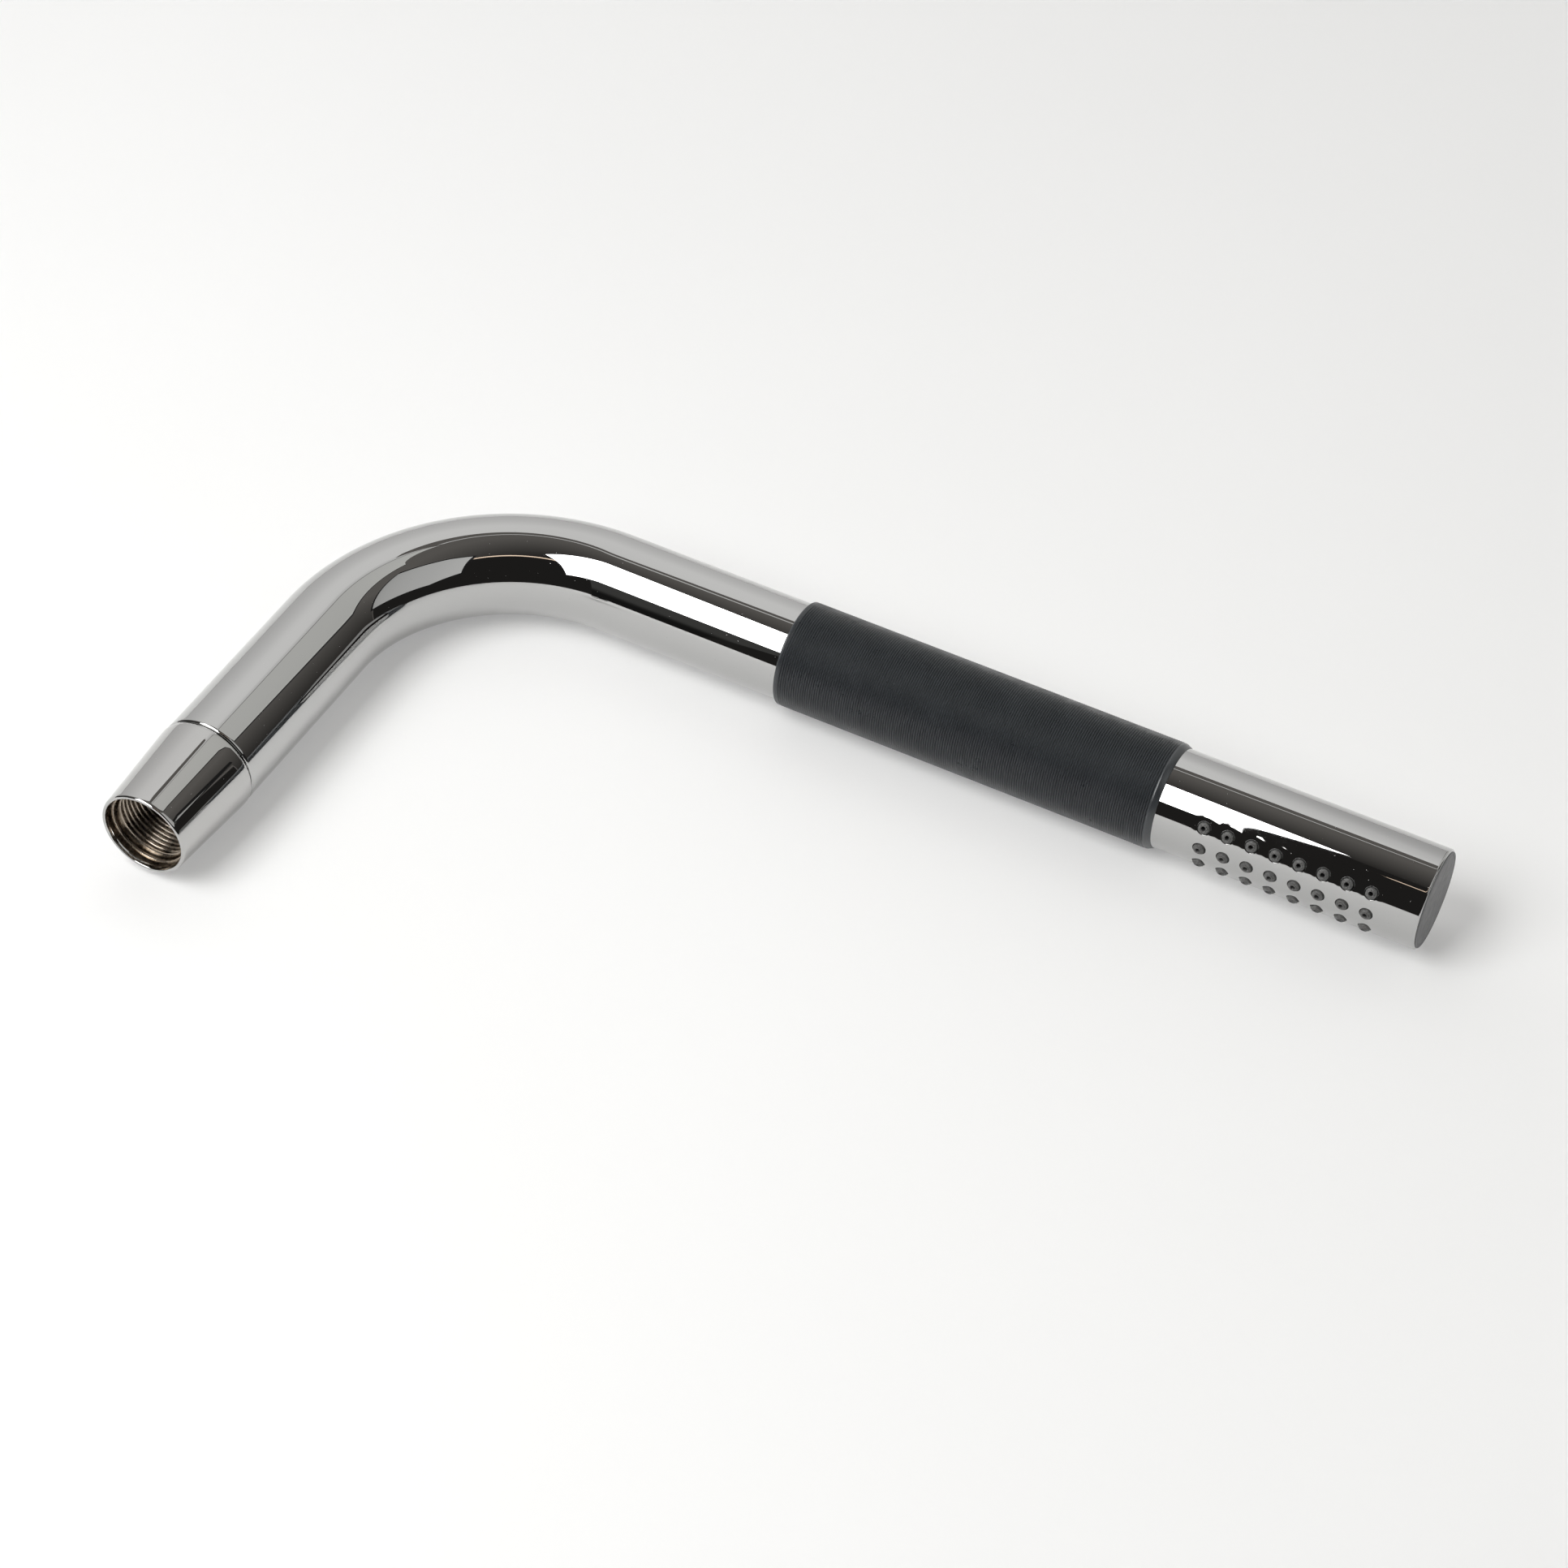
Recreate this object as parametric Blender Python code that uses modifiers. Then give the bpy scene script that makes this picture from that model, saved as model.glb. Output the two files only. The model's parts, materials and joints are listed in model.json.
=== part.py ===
"""Handheld bath sprayer: a hand shower made from one bent, chromed tube.

The short leg, leg 1, runs along -Y and ends in a tapered collar with a female thread for the hose.
The long leg, leg 2, runs along +X, carries a rubber grip, and sprays towards -Y, into the bend.
The object lies flat: both legs' centre lines are in one plane, parallel to the floor.
The origin is the middle of the object's box, on the floor. Lengths are in metres.

On each leg, "station" is the distance from the corner, the point where the two centre lines would
cross if the tube weren't bent round. A leg's empty sits at the corner with its Z along the leg.
"""

import math

import bmesh
import bpy
from mathutils import Matrix, Vector

# Driving dimensions
TUBE_RADIUS = 0.0140
TUBE_WALL = 0.0014
TUBE_EDGE_CHAMFER = 0.0004
BEND_RADIUS = 0.0581
LEG_1_LENGTH = 0.1473  # corner to the collar's mouth
LEG_2_LENGTH = 0.3008  # corner to the spray end's face
GAP = 0.0003  # between pieces that touch

GRIP_RADIUS = 0.01495
GRIP_START = 0.1144
GRIP_END = 0.2261
GRIP_SEAT_DEPTH = 0.0005
GRIP_BAND = 0.0014  # smooth band at the grip's end near the bend
GRIP_TAPER = 0.0022  # chamfer at its other end
GRIP_EDGE_RADIUS = 0.0142

COLLAR_LENGTH = 0.0302
COLLAR_RADIUS = 0.0142
COLLAR_MOUTH_RADIUS = 0.0120
COLLAR_LIP_RADIUS = 0.01156
COLLAR_RECESS_RADIUS = 0.0112
COLLAR_RECESS_DEPTH = 0.0042
COLLAR_STEP_RADIUS = 0.0108
COLLAR_STEP_DEPTH = 0.0027  # narrow ledge inside the recess
THREAD_MINOR_RADIUS = 0.0102  # M22 x 1.5, made as a plain bore at its minor diameter
THREAD_LENGTH = 0.0160
COLLAR_WEB_RADIUS = 0.0094
COLLAR_WEB_THICKNESS = 0.0025
COLLAR_SKIRT_DEPTH = 0.0020  # rear face to web
COLLAR_RELIEF = 0.0010  # cone at each end of the thread's bore

SPIGOT_NECK_RADIUS = 0.0090
SPIGOT_NECK_LENGTH = 0.0084  # from the collar's rear face
SPIGOT_BORE_RADIUS = 0.0068
SPIGOT_STOP_RADIUS = 0.0050  # the opening past the step that the limiter rests on
COUNTERBORE_RADIUS = 0.0079  # for the rim of the valve's body
COUNTERBORE_DEPTH = 0.0013
VALVE_RADIUS = 0.0065
VALVE_SEAT = 0.1205  # station of the face that the valve's rubber ring closes on
VALVE_GUIDE = 0.1106  # station of the guide's face that the spring rests on
VALVE_GUIDE_THICKNESS = 0.0014
VALVE_TRAVEL = 0.0020

NOZZLE_COUNT = 8
NOZZLE_FIRST = 0.2397
NOZZLE_PITCH = 0.00671
NOZZLE_ROW_ANGLES = [math.radians(angle) for angle in (-27, 0, 27)]
NOZZLE_HOLE_RADIUS = 0.0018
NOZZLE_TIP = 0.0147  # distance of a nozzle's tip from the leg's axis
NOZZLE_ORIFICE_RADIUS = 0.0006
MAT_THICKNESS = 0.0008
MAT_MARGIN = 0.0031  # mat's end to the first nozzle's middle
CARRIER_BACK = 0.0020  # the carrier's flat back, as a distance from the leg's axis

SEAL_GROOVE_WIDTH = 0.0021
SNAP_RING_THICKNESS = 0.0010
SNAP_GROOVE_WIDTH = 0.0016
SNAP_GROOVE_DEPTH = 0.0006
SNAP_GROOVE_INSET = 0.0020  # spray end's face to the groove
CAP_THICKNESS = 0.0016
CAP_INSET = 0.0002
CAP_STEM_RADIUS = 0.0027

# Steps round a full turn: a multiple of four, so that the box is exact
TUBE_STEPS = 32
PLUG_STEPS = 24
VALVE_STEPS = 20
RING_STEPS = 20

TUBE_BORE = TUBE_RADIUS - TUBE_WALL
COLLAR_START = LEG_1_LENGTH - COLLAR_LENGTH
TUBE_START = COLLAR_START - GAP
NECK_END = COLLAR_START + SPIGOT_NECK_LENGTH
SPIGOT_SHOULDER = COLLAR_START + 0.0004
COLLAR_WEB = COLLAR_START + COLLAR_SKIRT_DEPTH
END_GROOVE_END = LEG_2_LENGTH - SNAP_GROOVE_INSET
END_GROOVE_START = END_GROOVE_END - SNAP_GROOVE_WIDTH
SPIGOT_STOP = COLLAR_START - 0.0141  # the step in the spigot's bore that the limiter rests on
NOZZLE_STATIONS = [NOZZLE_FIRST + NOZZLE_PITCH * i for i in range(NOZZLE_COUNT)]
SPRAY_START = NOZZLE_STATIONS[0] - MAT_MARGIN
SPRAY_END = NOZZLE_STATIONS[-1] + MAT_MARGIN

# The corner's place in the object's own box
CORNER = Vector(
    (
        (COLLAR_RADIUS - LEG_2_LENGTH) / 2,
        (LEG_1_LENGTH - GRIP_RADIUS) / 2,
        GRIP_RADIUS,
    )
)


def clear_scene():
    for obj in list(bpy.data.objects):
        bpy.data.objects.remove(obj, do_unlink=True)


def new_collection(name):
    collection = bpy.data.collections.new(name)
    bpy.context.scene.collection.children.link(collection)
    return collection


def material(name, colour, roughness, metallic=0.0):
    made = bpy.data.materials.new(name)
    made.use_nodes = True
    shader = made.node_tree.nodes["Principled BSDF"]
    shader.inputs["Base Color"].default_value = (*colour, 1.0)
    shader.inputs["Roughness"].default_value = roughness
    shader.inputs["Metallic"].default_value = metallic
    return made


def leg_axis(name, direction):
    """An empty at the corner, with its Z along the leg."""
    empty = bpy.data.objects.new(name, None)
    empty.empty_display_size = 0.02
    turn = Vector((0, 0, 1)).rotation_difference(direction).to_matrix().to_4x4()
    empty.matrix_world = Matrix.Translation(CORNER) @ turn
    return empty


def place(obj, collection, parent, finish=None):
    """Links the object, hangs it on its leg's empty, and gives it its material."""
    collection.objects.link(obj)
    obj.parent = parent
    if finish is None:
        obj.hide_render = True
        obj.display_type = "WIRE"
    else:
        obj.data.materials.append(finish)
        if obj.type == "MESH":
            obj.data.shade_smooth()
            obj.data.set_sharp_from_angle(angle=math.radians(30))
    return obj


def signed_area(outline):
    pairs = zip(outline, outline[1:] + outline[:1])
    return sum(a[0] * b[1] - b[0] * a[1] for a, b in pairs) / 2


def turned(name, outline, steps, collection, parent, finish=None):
    """A piece turned about the leg's axis, from (radius, station) corners.

    An outline that starts and ends on the axis is a solid; any other is closed into a ring.
    """
    if signed_area(outline) > 0:
        outline = outline[::-1]  # a Screw's profile runs down its outer side
    mesh = bpy.data.meshes.new(name)
    points = [(radius, 0, station) for radius, station in outline]
    edges = [(i, i + 1) for i in range(len(points) - 1)]
    if min(radius for radius, _ in outline) > 0:
        edges.append((len(points) - 1, 0))
    mesh.from_pydata(points, edges, [])
    obj = place(bpy.data.objects.new(name, mesh), collection, parent, finish)
    screw = obj.modifiers.new("turn", "SCREW")
    screw.axis = "Z"
    screw.angle = math.tau
    screw.steps = steps
    screw.render_steps = steps
    screw.use_merge_vertices = True
    screw.merge_threshold = 0.00001
    screw.use_smooth_shade = True
    return obj


def ring(name, middle_radius, section_radius, station, steps, collection, parent, finish):
    """A round rubber ring, turned from a six-sided section."""
    sides = 6
    outline = [
        (
            middle_radius + section_radius * math.cos(math.tau * i / sides),
            station + section_radius * math.sin(math.tau * i / sides),
        )
        for i in range(sides)
    ]
    return turned(name, outline, steps, collection, parent, finish)


def snap_ring(name, inner, outer, station, thickness, opening, collection, parent, finish):
    """A flat open ring: a C-shaped outline, extruded along the leg from the station."""
    curve = bpy.data.curves.new(name, "CURVE")
    curve.dimensions = "2D"
    curve.fill_mode = "BOTH"
    curve.extrude = thickness / 2
    arc_steps = 22
    first = opening / 2
    turns = [first + (math.tau - opening) * i / arc_steps for i in range(arc_steps + 1)]
    corners = [(outer * math.cos(t), outer * math.sin(t)) for t in turns]
    corners += [(inner * math.cos(t), inner * math.sin(t)) for t in reversed(turns)]
    spline = curve.splines.new("POLY")
    spline.points.add(len(corners) - 1)
    for point, (x, y) in zip(spline.points, corners):
        point.co = (x, y, 0, 1)
    spline.use_cyclic_u = True
    obj = place(bpy.data.objects.new(name, curve), collection, parent, finish)
    obj.location.z = station + thickness / 2
    return obj


def add_boolean(obj, cutter, operation="DIFFERENCE"):
    boolean = obj.modifiers.new(cutter.name, "BOOLEAN")
    boolean.operation = operation
    boolean.solver = "EXACT"
    boolean.object = cutter


def mesh_from_curve(name, curve_object):
    """The curve's mesh as a new object, with its ends welded. The curve is removed."""
    bpy.context.view_layer.update()
    graph = bpy.context.evaluated_depsgraph_get()
    mesh = bpy.data.meshes.new_from_object(curve_object.evaluated_get(graph))
    welded = bmesh.new()
    welded.from_mesh(mesh)
    bmesh.ops.remove_doubles(welded, verts=welded.verts, dist=0.000001)
    welded.to_mesh(mesh)
    welded.free()
    place_in_world = curve_object.matrix_world.copy()
    bpy.data.objects.remove(curve_object, do_unlink=True)
    mesh.name = name
    made = bpy.data.objects.new(name, mesh)
    made.matrix_world = place_in_world
    return made


def spray_direction(angle):
    """Unit vector, in leg 2's frame, that points out of the leg at this angle from -Y."""
    outward = Vector((0, -math.cos(angle), math.sin(angle)))
    return LEG_2.matrix_world.to_3x3().inverted() @ outward


def radial_cylinders(name, near, far, near_radius, far_radius, sides, stations):
    """One helper mesh of cylinders, from near to far off leg 2's axis, one for each nozzle.

    Each is turned a little about itself, so that no corner meets the tube's own edges.
    """
    bm = bmesh.new()
    spin = Matrix.Rotation(math.radians(15), 4, "Z")
    for angle in NOZZLE_ROW_ANGLES:
        outward = spray_direction(angle)
        turn = Vector((0, 0, 1)).rotation_difference(outward).to_matrix().to_4x4() @ spin
        for station in stations:
            middle = outward * (near + far) / 2 + Vector((0, 0, station))
            bmesh.ops.create_cone(
                bm,
                cap_ends=True,
                segments=sides,
                radius1=near_radius,
                radius2=far_radius,
                depth=far - near,
                matrix=Matrix.Translation(middle) @ turn,
            )
    mesh = bpy.data.meshes.new(name)
    bm.to_mesh(mesh)
    bm.free()
    return place(bpy.data.objects.new(name, mesh), HELPERS, LEG_2)


def make_outer_tube():
    """The bent tube: a swept skin, thickened inwards, then bored for the grip seat and nozzles."""
    curve = bpy.data.curves.new("tube_path", "CURVE")
    curve.dimensions = "3D"
    curve.bevel_depth = TUBE_RADIUS
    curve.bevel_resolution = TUBE_STEPS // 2 - 2
    bend_steps = 10
    centre = Vector((BEND_RADIUS, -BEND_RADIUS, 0))
    bend = [
        centre + BEND_RADIUS * Vector((-math.cos(turn), math.sin(turn), 0))
        for turn in (math.pi / 2 * i / bend_steps for i in range(bend_steps + 1))
    ]
    path = [Vector((0, -TUBE_START, 0)), *bend, Vector((LEG_2_LENGTH, 0, 0))]
    spline = curve.splines.new("POLY")
    spline.points.add(len(path) - 1)
    for point, at in zip(spline.points, path):
        point.co = (*at, 1)
    skin = bpy.data.objects.new("tube_path", curve)
    HELPERS.objects.link(skin)
    skin.location = CORNER
    tube = mesh_from_curve("outer_tube", skin)
    place(tube, PARTS, None, CHROME)

    wall = tube.modifiers.new("wall", "SOLIDIFY")
    wall.thickness = TUBE_WALL
    wall.offset = -1
    wall.use_even_offset = True
    edge = tube.modifiers.new("edge", "BEVEL")
    edge.width = TUBE_EDGE_CHAMFER
    edge.segments = 1
    edge.limit_method = "ANGLE"
    edge.angle_limit = math.radians(60)

    overshoot = 0.001
    seat = turned(
        "grip_seat_cutter",
        [
            (TUBE_RADIUS - GRIP_SEAT_DEPTH, GRIP_START - GAP),
            (TUBE_RADIUS + overshoot, GRIP_START - GAP),
            (TUBE_RADIUS + overshoot, GRIP_END + GAP),
            (TUBE_RADIUS - GRIP_SEAT_DEPTH, GRIP_END + GAP),
        ],
        TUBE_STEPS,
        HELPERS,
        LEG_2,
    )
    groove = turned(
        "end_groove_cutter",
        [
            (TUBE_BORE - overshoot, END_GROOVE_START),
            (TUBE_BORE + SNAP_GROOVE_DEPTH, END_GROOVE_START),
            (TUBE_BORE + SNAP_GROOVE_DEPTH, END_GROOVE_END),
            (TUBE_BORE - overshoot, END_GROOVE_END),
        ],
        TUBE_STEPS,
        HELPERS,
        LEG_2,
    )
    holes = radial_cylinders(
        "nozzle_hole_cutters",
        TUBE_BORE - overshoot,
        TUBE_RADIUS + overshoot,
        NOZZLE_HOLE_RADIUS,
        NOZZLE_HOLE_RADIUS,
        10,
        NOZZLE_STATIONS,
    )
    for cutter in (seat, groove, holes):
        add_boolean(tube, cutter)


def make_grip_sleeve():
    inner = TUBE_RADIUS - GRIP_SEAT_DEPTH + GAP
    turned(
        "grip_sleeve",
        [
            (inner, GRIP_START),
            (GRIP_EDGE_RADIUS, GRIP_START),
            (GRIP_RADIUS, GRIP_START + GRIP_BAND),
            (GRIP_RADIUS, GRIP_END - GRIP_TAPER),
            (GRIP_EDGE_RADIUS, GRIP_END),
            (inner, GRIP_END),
        ],
        TUBE_STEPS,
        PARTS,
        LEG_2,
        GRIP_RUBBER,
    )


def make_inlet_collar():
    """Tapered collar: a rear skirt over the spigot's shoulder, a web that the neck runs through,
    a relief, the thread's bore and the open recess at the mouth, with a ledge in it."""
    thread_end = LEG_1_LENGTH - COLLAR_RECESS_DEPTH - COLLAR_RELIEF
    thread_start = thread_end - THREAD_LENGTH
    skirt_bore = TUBE_BORE + 0.0001
    turned(
        "inlet_collar",
        [
            (skirt_bore, COLLAR_START),
            (COLLAR_RADIUS - 0.0006, COLLAR_START),
            (COLLAR_RADIUS, COLLAR_START + 0.0008),
            (COLLAR_RADIUS, COLLAR_START + 0.0018),
            (COLLAR_MOUTH_RADIUS + 0.0005, LEG_1_LENGTH - 0.0015),
            (COLLAR_MOUTH_RADIUS, LEG_1_LENGTH),
            (COLLAR_LIP_RADIUS, LEG_1_LENGTH),
            (COLLAR_RECESS_RADIUS, LEG_1_LENGTH - 0.0008),
            (COLLAR_RECESS_RADIUS, LEG_1_LENGTH - COLLAR_STEP_DEPTH),
            (COLLAR_STEP_RADIUS, LEG_1_LENGTH - COLLAR_STEP_DEPTH),
            (COLLAR_STEP_RADIUS, LEG_1_LENGTH - COLLAR_RECESS_DEPTH),
            (THREAD_MINOR_RADIUS, thread_end),
            (THREAD_MINOR_RADIUS, thread_start),
            (COLLAR_RECESS_RADIUS, thread_start - COLLAR_RELIEF),
            (COLLAR_RECESS_RADIUS, COLLAR_WEB + COLLAR_WEB_THICKNESS),
            (COLLAR_WEB_RADIUS, COLLAR_WEB + COLLAR_WEB_THICKNESS),
            (COLLAR_WEB_RADIUS, COLLAR_WEB),
            (skirt_bore, COLLAR_WEB),
        ],
        TUBE_STEPS,
        PARTS,
        LEG_1,
        CHROME,
    )


def make_inlet_spigot():
    """Brass sleeve in the tube's end. Its neck carries the collar and holds the valve."""
    shoulder = SPIGOT_SHOULDER
    groove = COLLAR_START + 0.0048
    groove_radius = SPIGOT_NECK_RADIUS - 0.0007
    turned(
        "inlet_spigot",
        [
            (SPIGOT_STOP_RADIUS, SPIGOT_STOP - 0.0030),
            (TUBE_BORE - 0.0015, SPIGOT_STOP - 0.0030),
            (TUBE_BORE - GAP, SPIGOT_STOP - 0.0015),
            (TUBE_BORE - GAP, shoulder),
            (SPIGOT_NECK_RADIUS, shoulder),
            (SPIGOT_NECK_RADIUS, groove),
            (groove_radius, groove),
            (groove_radius, groove + SNAP_GROOVE_WIDTH),
            (SPIGOT_NECK_RADIUS, groove + SNAP_GROOVE_WIDTH),
            (SPIGOT_NECK_RADIUS, NECK_END),
            (COUNTERBORE_RADIUS, NECK_END),
            (COUNTERBORE_RADIUS, NECK_END - COUNTERBORE_DEPTH),
            (SPIGOT_BORE_RADIUS, NECK_END - COUNTERBORE_DEPTH),
            (SPIGOT_BORE_RADIUS, SPIGOT_STOP),
            (SPIGOT_STOP_RADIUS, SPIGOT_STOP),
        ],
        PLUG_STEPS,
        PARTS,
        LEG_1,
        BRASS,
    )
    washer_inner = SPIGOT_NECK_RADIUS + GAP
    washer_outer = 0.0120
    turned(
        "collar_slide_washer",
        [
            (washer_inner, shoulder + GAP),
            (washer_outer, shoulder + GAP),
            (washer_outer, COLLAR_WEB - GAP),
            (washer_inner, COLLAR_WEB - GAP),
        ],
        PLUG_STEPS,
        PARTS,
        LEG_1,
        WHITE_PLASTIC,
    )
    snap_ring(
        "collar_circlip",
        groove_radius + GAP,
        SPIGOT_NECK_RADIUS + 0.0011,
        groove + GAP,
        SNAP_RING_THICKNESS,
        math.radians(40),
        PARTS,
        LEG_1,
        STEEL,
    )


def make_hose_seal():
    """Flat washer that the hose end presses on, with a sieve cup in its middle."""
    start = NECK_END + GAP
    end = start + 0.0020
    inner = 0.0066
    outer = 0.0098
    turned(
        "hose_washer",
        [(inner, start), (outer, start), (outer, end), (inner, end)],
        PLUG_STEPS,
        PARTS,
        LEG_1,
        BLACK_RUBBER,
    )
    rim = inner - GAP
    foot = start + 0.0001
    thickness = 0.0005
    turned(
        "inlet_filter",
        [
            (0, foot + 0.0016),
            (0.0048, foot + 0.0007),
            (0.0048, foot),
            (rim, foot),
            (rim, foot + thickness),
            (0.0054, foot + thickness),
            (0.0054, foot + 0.0011),
            (0, foot + 0.0021),
        ],
        VALVE_STEPS,
        PARTS,
        LEG_1,
        STEEL,
    )


def make_check_valve():
    """Non-return valve: water from the hose lifts the poppet off its seat, into the handset."""
    body_start = VALVE_GUIDE - 0.0020
    body_end = NECK_END - GAP
    upstream = 0.0040
    downstream = 0.0051
    throat = 0.0033
    rim = COUNTERBORE_RADIUS - GAP
    rim_start = body_end - 0.0007
    seat_step = VALVE_SEAT + 0.0010
    seal_groove = VALVE_SEAT + 0.0012
    seal_groove_end = seal_groove + 0.0018
    turned(
        "check_valve_body",
        [
            (downstream, body_start),
            (VALVE_RADIUS, body_start),
            (VALVE_RADIUS, seal_groove),
            (0.0050, seal_groove),
            (0.0050, seal_groove_end),
            (VALVE_RADIUS, seal_groove_end),
            (VALVE_RADIUS, rim_start),
            (rim, rim_start),
            (rim, body_end),
            (upstream, body_end),
            (upstream, seat_step),
            (throat, seat_step),
            (throat, VALVE_SEAT),
            (downstream, VALVE_SEAT),
        ],
        VALVE_STEPS,
        PARTS,
        LEG_1,
        WHITE_PLASTIC,
    )
    ring(
        "check_valve_o_ring",
        0.0059,
        0.0006,
        (seal_groove + seal_groove_end) / 2,
        RING_STEPS,
        PARTS,
        LEG_1,
        BLACK_RUBBER,
    )

    seal_back = VALVE_SEAT - GAP - 0.0009
    head_front = seal_back - GAP
    head_back = head_front - 0.0010
    stem_end = VALVE_GUIDE - VALVE_GUIDE_THICKNESS
    stem_radius = 0.0008
    head_radius = 0.0041
    turned(
        "check_valve_poppet",
        [
            (0, stem_end),
            (stem_radius, stem_end),
            (stem_radius, head_back),
            (head_radius, head_back),
            (head_radius, head_front),
            (0.0021, head_front),
            (0.0017, VALVE_SEAT + 0.0008),
            (0, VALVE_SEAT + 0.0012),
        ],
        VALVE_STEPS,
        PARTS,
        LEG_1,
        WHITE_PLASTIC,
    )
    turned(
        "check_valve_seal",
        [
            (0.0024, seal_back),
            (0.0043, seal_back),
            (0.0043, VALVE_SEAT - GAP),
            (0.0024, VALVE_SEAT - GAP),
        ],
        VALVE_STEPS,
        PARTS,
        LEG_1,
        BLACK_RUBBER,
    )

    guide_bore = 0.0012
    guide_radius = downstream - GAP
    guide = turned(
        "check_valve_guide",
        [
            (guide_bore, stem_end),
            (guide_radius, stem_end),
            (guide_radius, VALVE_GUIDE),
            (guide_bore, VALVE_GUIDE),
        ],
        VALVE_STEPS,
        PARTS,
        LEG_1,
        WHITE_PLASTIC,
    )
    windows = axial_holes("guide_window_cutters", 4, 0.0033, 0.0009, VALVE_GUIDE)
    add_boolean(guide, windows)
    make_valve_spring(VALVE_GUIDE + GAP, head_back - GAP)


def axial_holes(name, count, pitch_radius, hole_radius, station):
    """A helper mesh of short cylinders along leg 1, set round a circle."""
    bm = bmesh.new()
    for i in range(count):
        turn = math.tau * (i + 0.5) / count
        at = (pitch_radius * math.cos(turn), pitch_radius * math.sin(turn), station)
        bmesh.ops.create_cone(
            bm,
            cap_ends=True,
            segments=10,
            radius1=hole_radius,
            radius2=hole_radius,
            depth=0.008,
            matrix=Matrix.Translation(at),
        )
    mesh = bpy.data.meshes.new(name)
    bm.to_mesh(mesh)
    bm.free()
    return place(bpy.data.objects.new(name, mesh), HELPERS, LEG_1)


def make_valve_spring(low, high):
    wire_radius = 0.00025
    coil_radius = 0.0026
    turns = 4
    points_per_turn = 10
    count = turns * points_per_turn
    rise = high - low - 2 * wire_radius
    curve = bpy.data.curves.new("check_valve_spring", "CURVE")
    curve.dimensions = "3D"
    curve.bevel_depth = wire_radius
    curve.bevel_resolution = 1
    curve.use_fill_caps = True
    spline = curve.splines.new("POLY")
    spline.points.add(count)
    for i, point in enumerate(spline.points):
        turn = math.tau * i / points_per_turn
        station = low + wire_radius + rise * i / count
        point.co = (coil_radius * math.cos(turn), coil_radius * math.sin(turn), station, 1)
    place(bpy.data.objects.new("check_valve_spring", curve), PARTS, LEG_1, STEEL)


def make_flow_limiter():
    """Perforated disc behind the valve, with its rubber ring in a groove on the inlet side.

    It stays clear of the poppet's stem when the valve is fully open.
    """
    start = SPIGOT_STOP + GAP
    end = VALVE_GUIDE - VALVE_GUIDE_THICKNESS - VALVE_TRAVEL - 0.0005
    groove_floor = end - 0.0016
    groove_inner = 0.0020
    groove_outer = 0.0052
    ring_section = 0.0006
    body = turned(
        "flow_limiter",
        [
            (0, start),
            (VALVE_RADIUS, start),
            (VALVE_RADIUS, end),
            (groove_outer, end),
            (groove_outer, groove_floor),
            (groove_inner, groove_floor),
            (groove_inner, end),
            (0, end),
        ],
        VALVE_STEPS,
        PARTS,
        LEG_1,
        WHITE_PLASTIC,
    )
    add_boolean(body, axial_holes("limiter_hole_cutters", 6, 0.0036, 0.0007, start + 0.0010))
    ring(
        "flow_limiter_ring",
        (groove_inner + groove_outer) / 2,
        ring_section,
        groove_floor + GAP + ring_section,
        RING_STEPS,
        PARTS,
        LEG_1,
        BLACK_RUBBER,
    )


def make_nozzle_mat():
    """Silicone mat against the tube's wall, with a stud and an orifice for each nozzle."""
    outer = TUBE_BORE - GAP
    half_arc = math.radians(40)
    steps = 12
    bm = bmesh.new()
    angles = [half_arc * (2 * i / steps - 1) for i in range(steps + 1)]
    first_row = [
        bm.verts.new(spray_direction(a) * outer + Vector((0, 0, SPRAY_START))) for a in angles
    ]
    edges = [bm.edges.new(pair) for pair in zip(first_row, first_row[1:])]
    drawn = bmesh.ops.extrude_edge_only(bm, edges=edges)["geom"]
    far_row = [item for item in drawn if isinstance(item, bmesh.types.BMVert)]
    bmesh.ops.translate(bm, vec=(0, 0, SPRAY_END - SPRAY_START), verts=far_row)
    bmesh.ops.recalc_face_normals(bm, faces=bm.faces)
    outward = spray_direction(0)
    if sum((face.normal.dot(outward) for face in bm.faces), 0.0) < 0:
        bmesh.ops.reverse_faces(bm, faces=bm.faces)
    mesh = bpy.data.meshes.new("nozzle_mat")
    bm.to_mesh(mesh)
    bm.free()
    mat = place(bpy.data.objects.new("nozzle_mat", mesh), PARTS, LEG_2, SILICONE)
    sheet = mat.modifiers.new("sheet", "SOLIDIFY")
    sheet.thickness = MAT_THICKNESS
    sheet.offset = -1
    studs = radial_cylinders(
        "nozzle_studs",
        outer - MAT_THICKNESS / 2,
        NOZZLE_TIP,
        NOZZLE_HOLE_RADIUS - GAP,
        NOZZLE_HOLE_RADIUS - 0.0007,
        8,
        NOZZLE_STATIONS,
    )
    orifices = radial_cylinders(
        "orifice_cutters",
        outer - 2 * MAT_THICKNESS,
        NOZZLE_TIP + 0.001,
        NOZZLE_ORIFICE_RADIUS,
        NOZZLE_ORIFICE_RADIUS,
        6,
        NOZZLE_STATIONS,
    )
    add_boolean(mat, studs, "UNION")
    add_boolean(mat, orifices)


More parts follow.
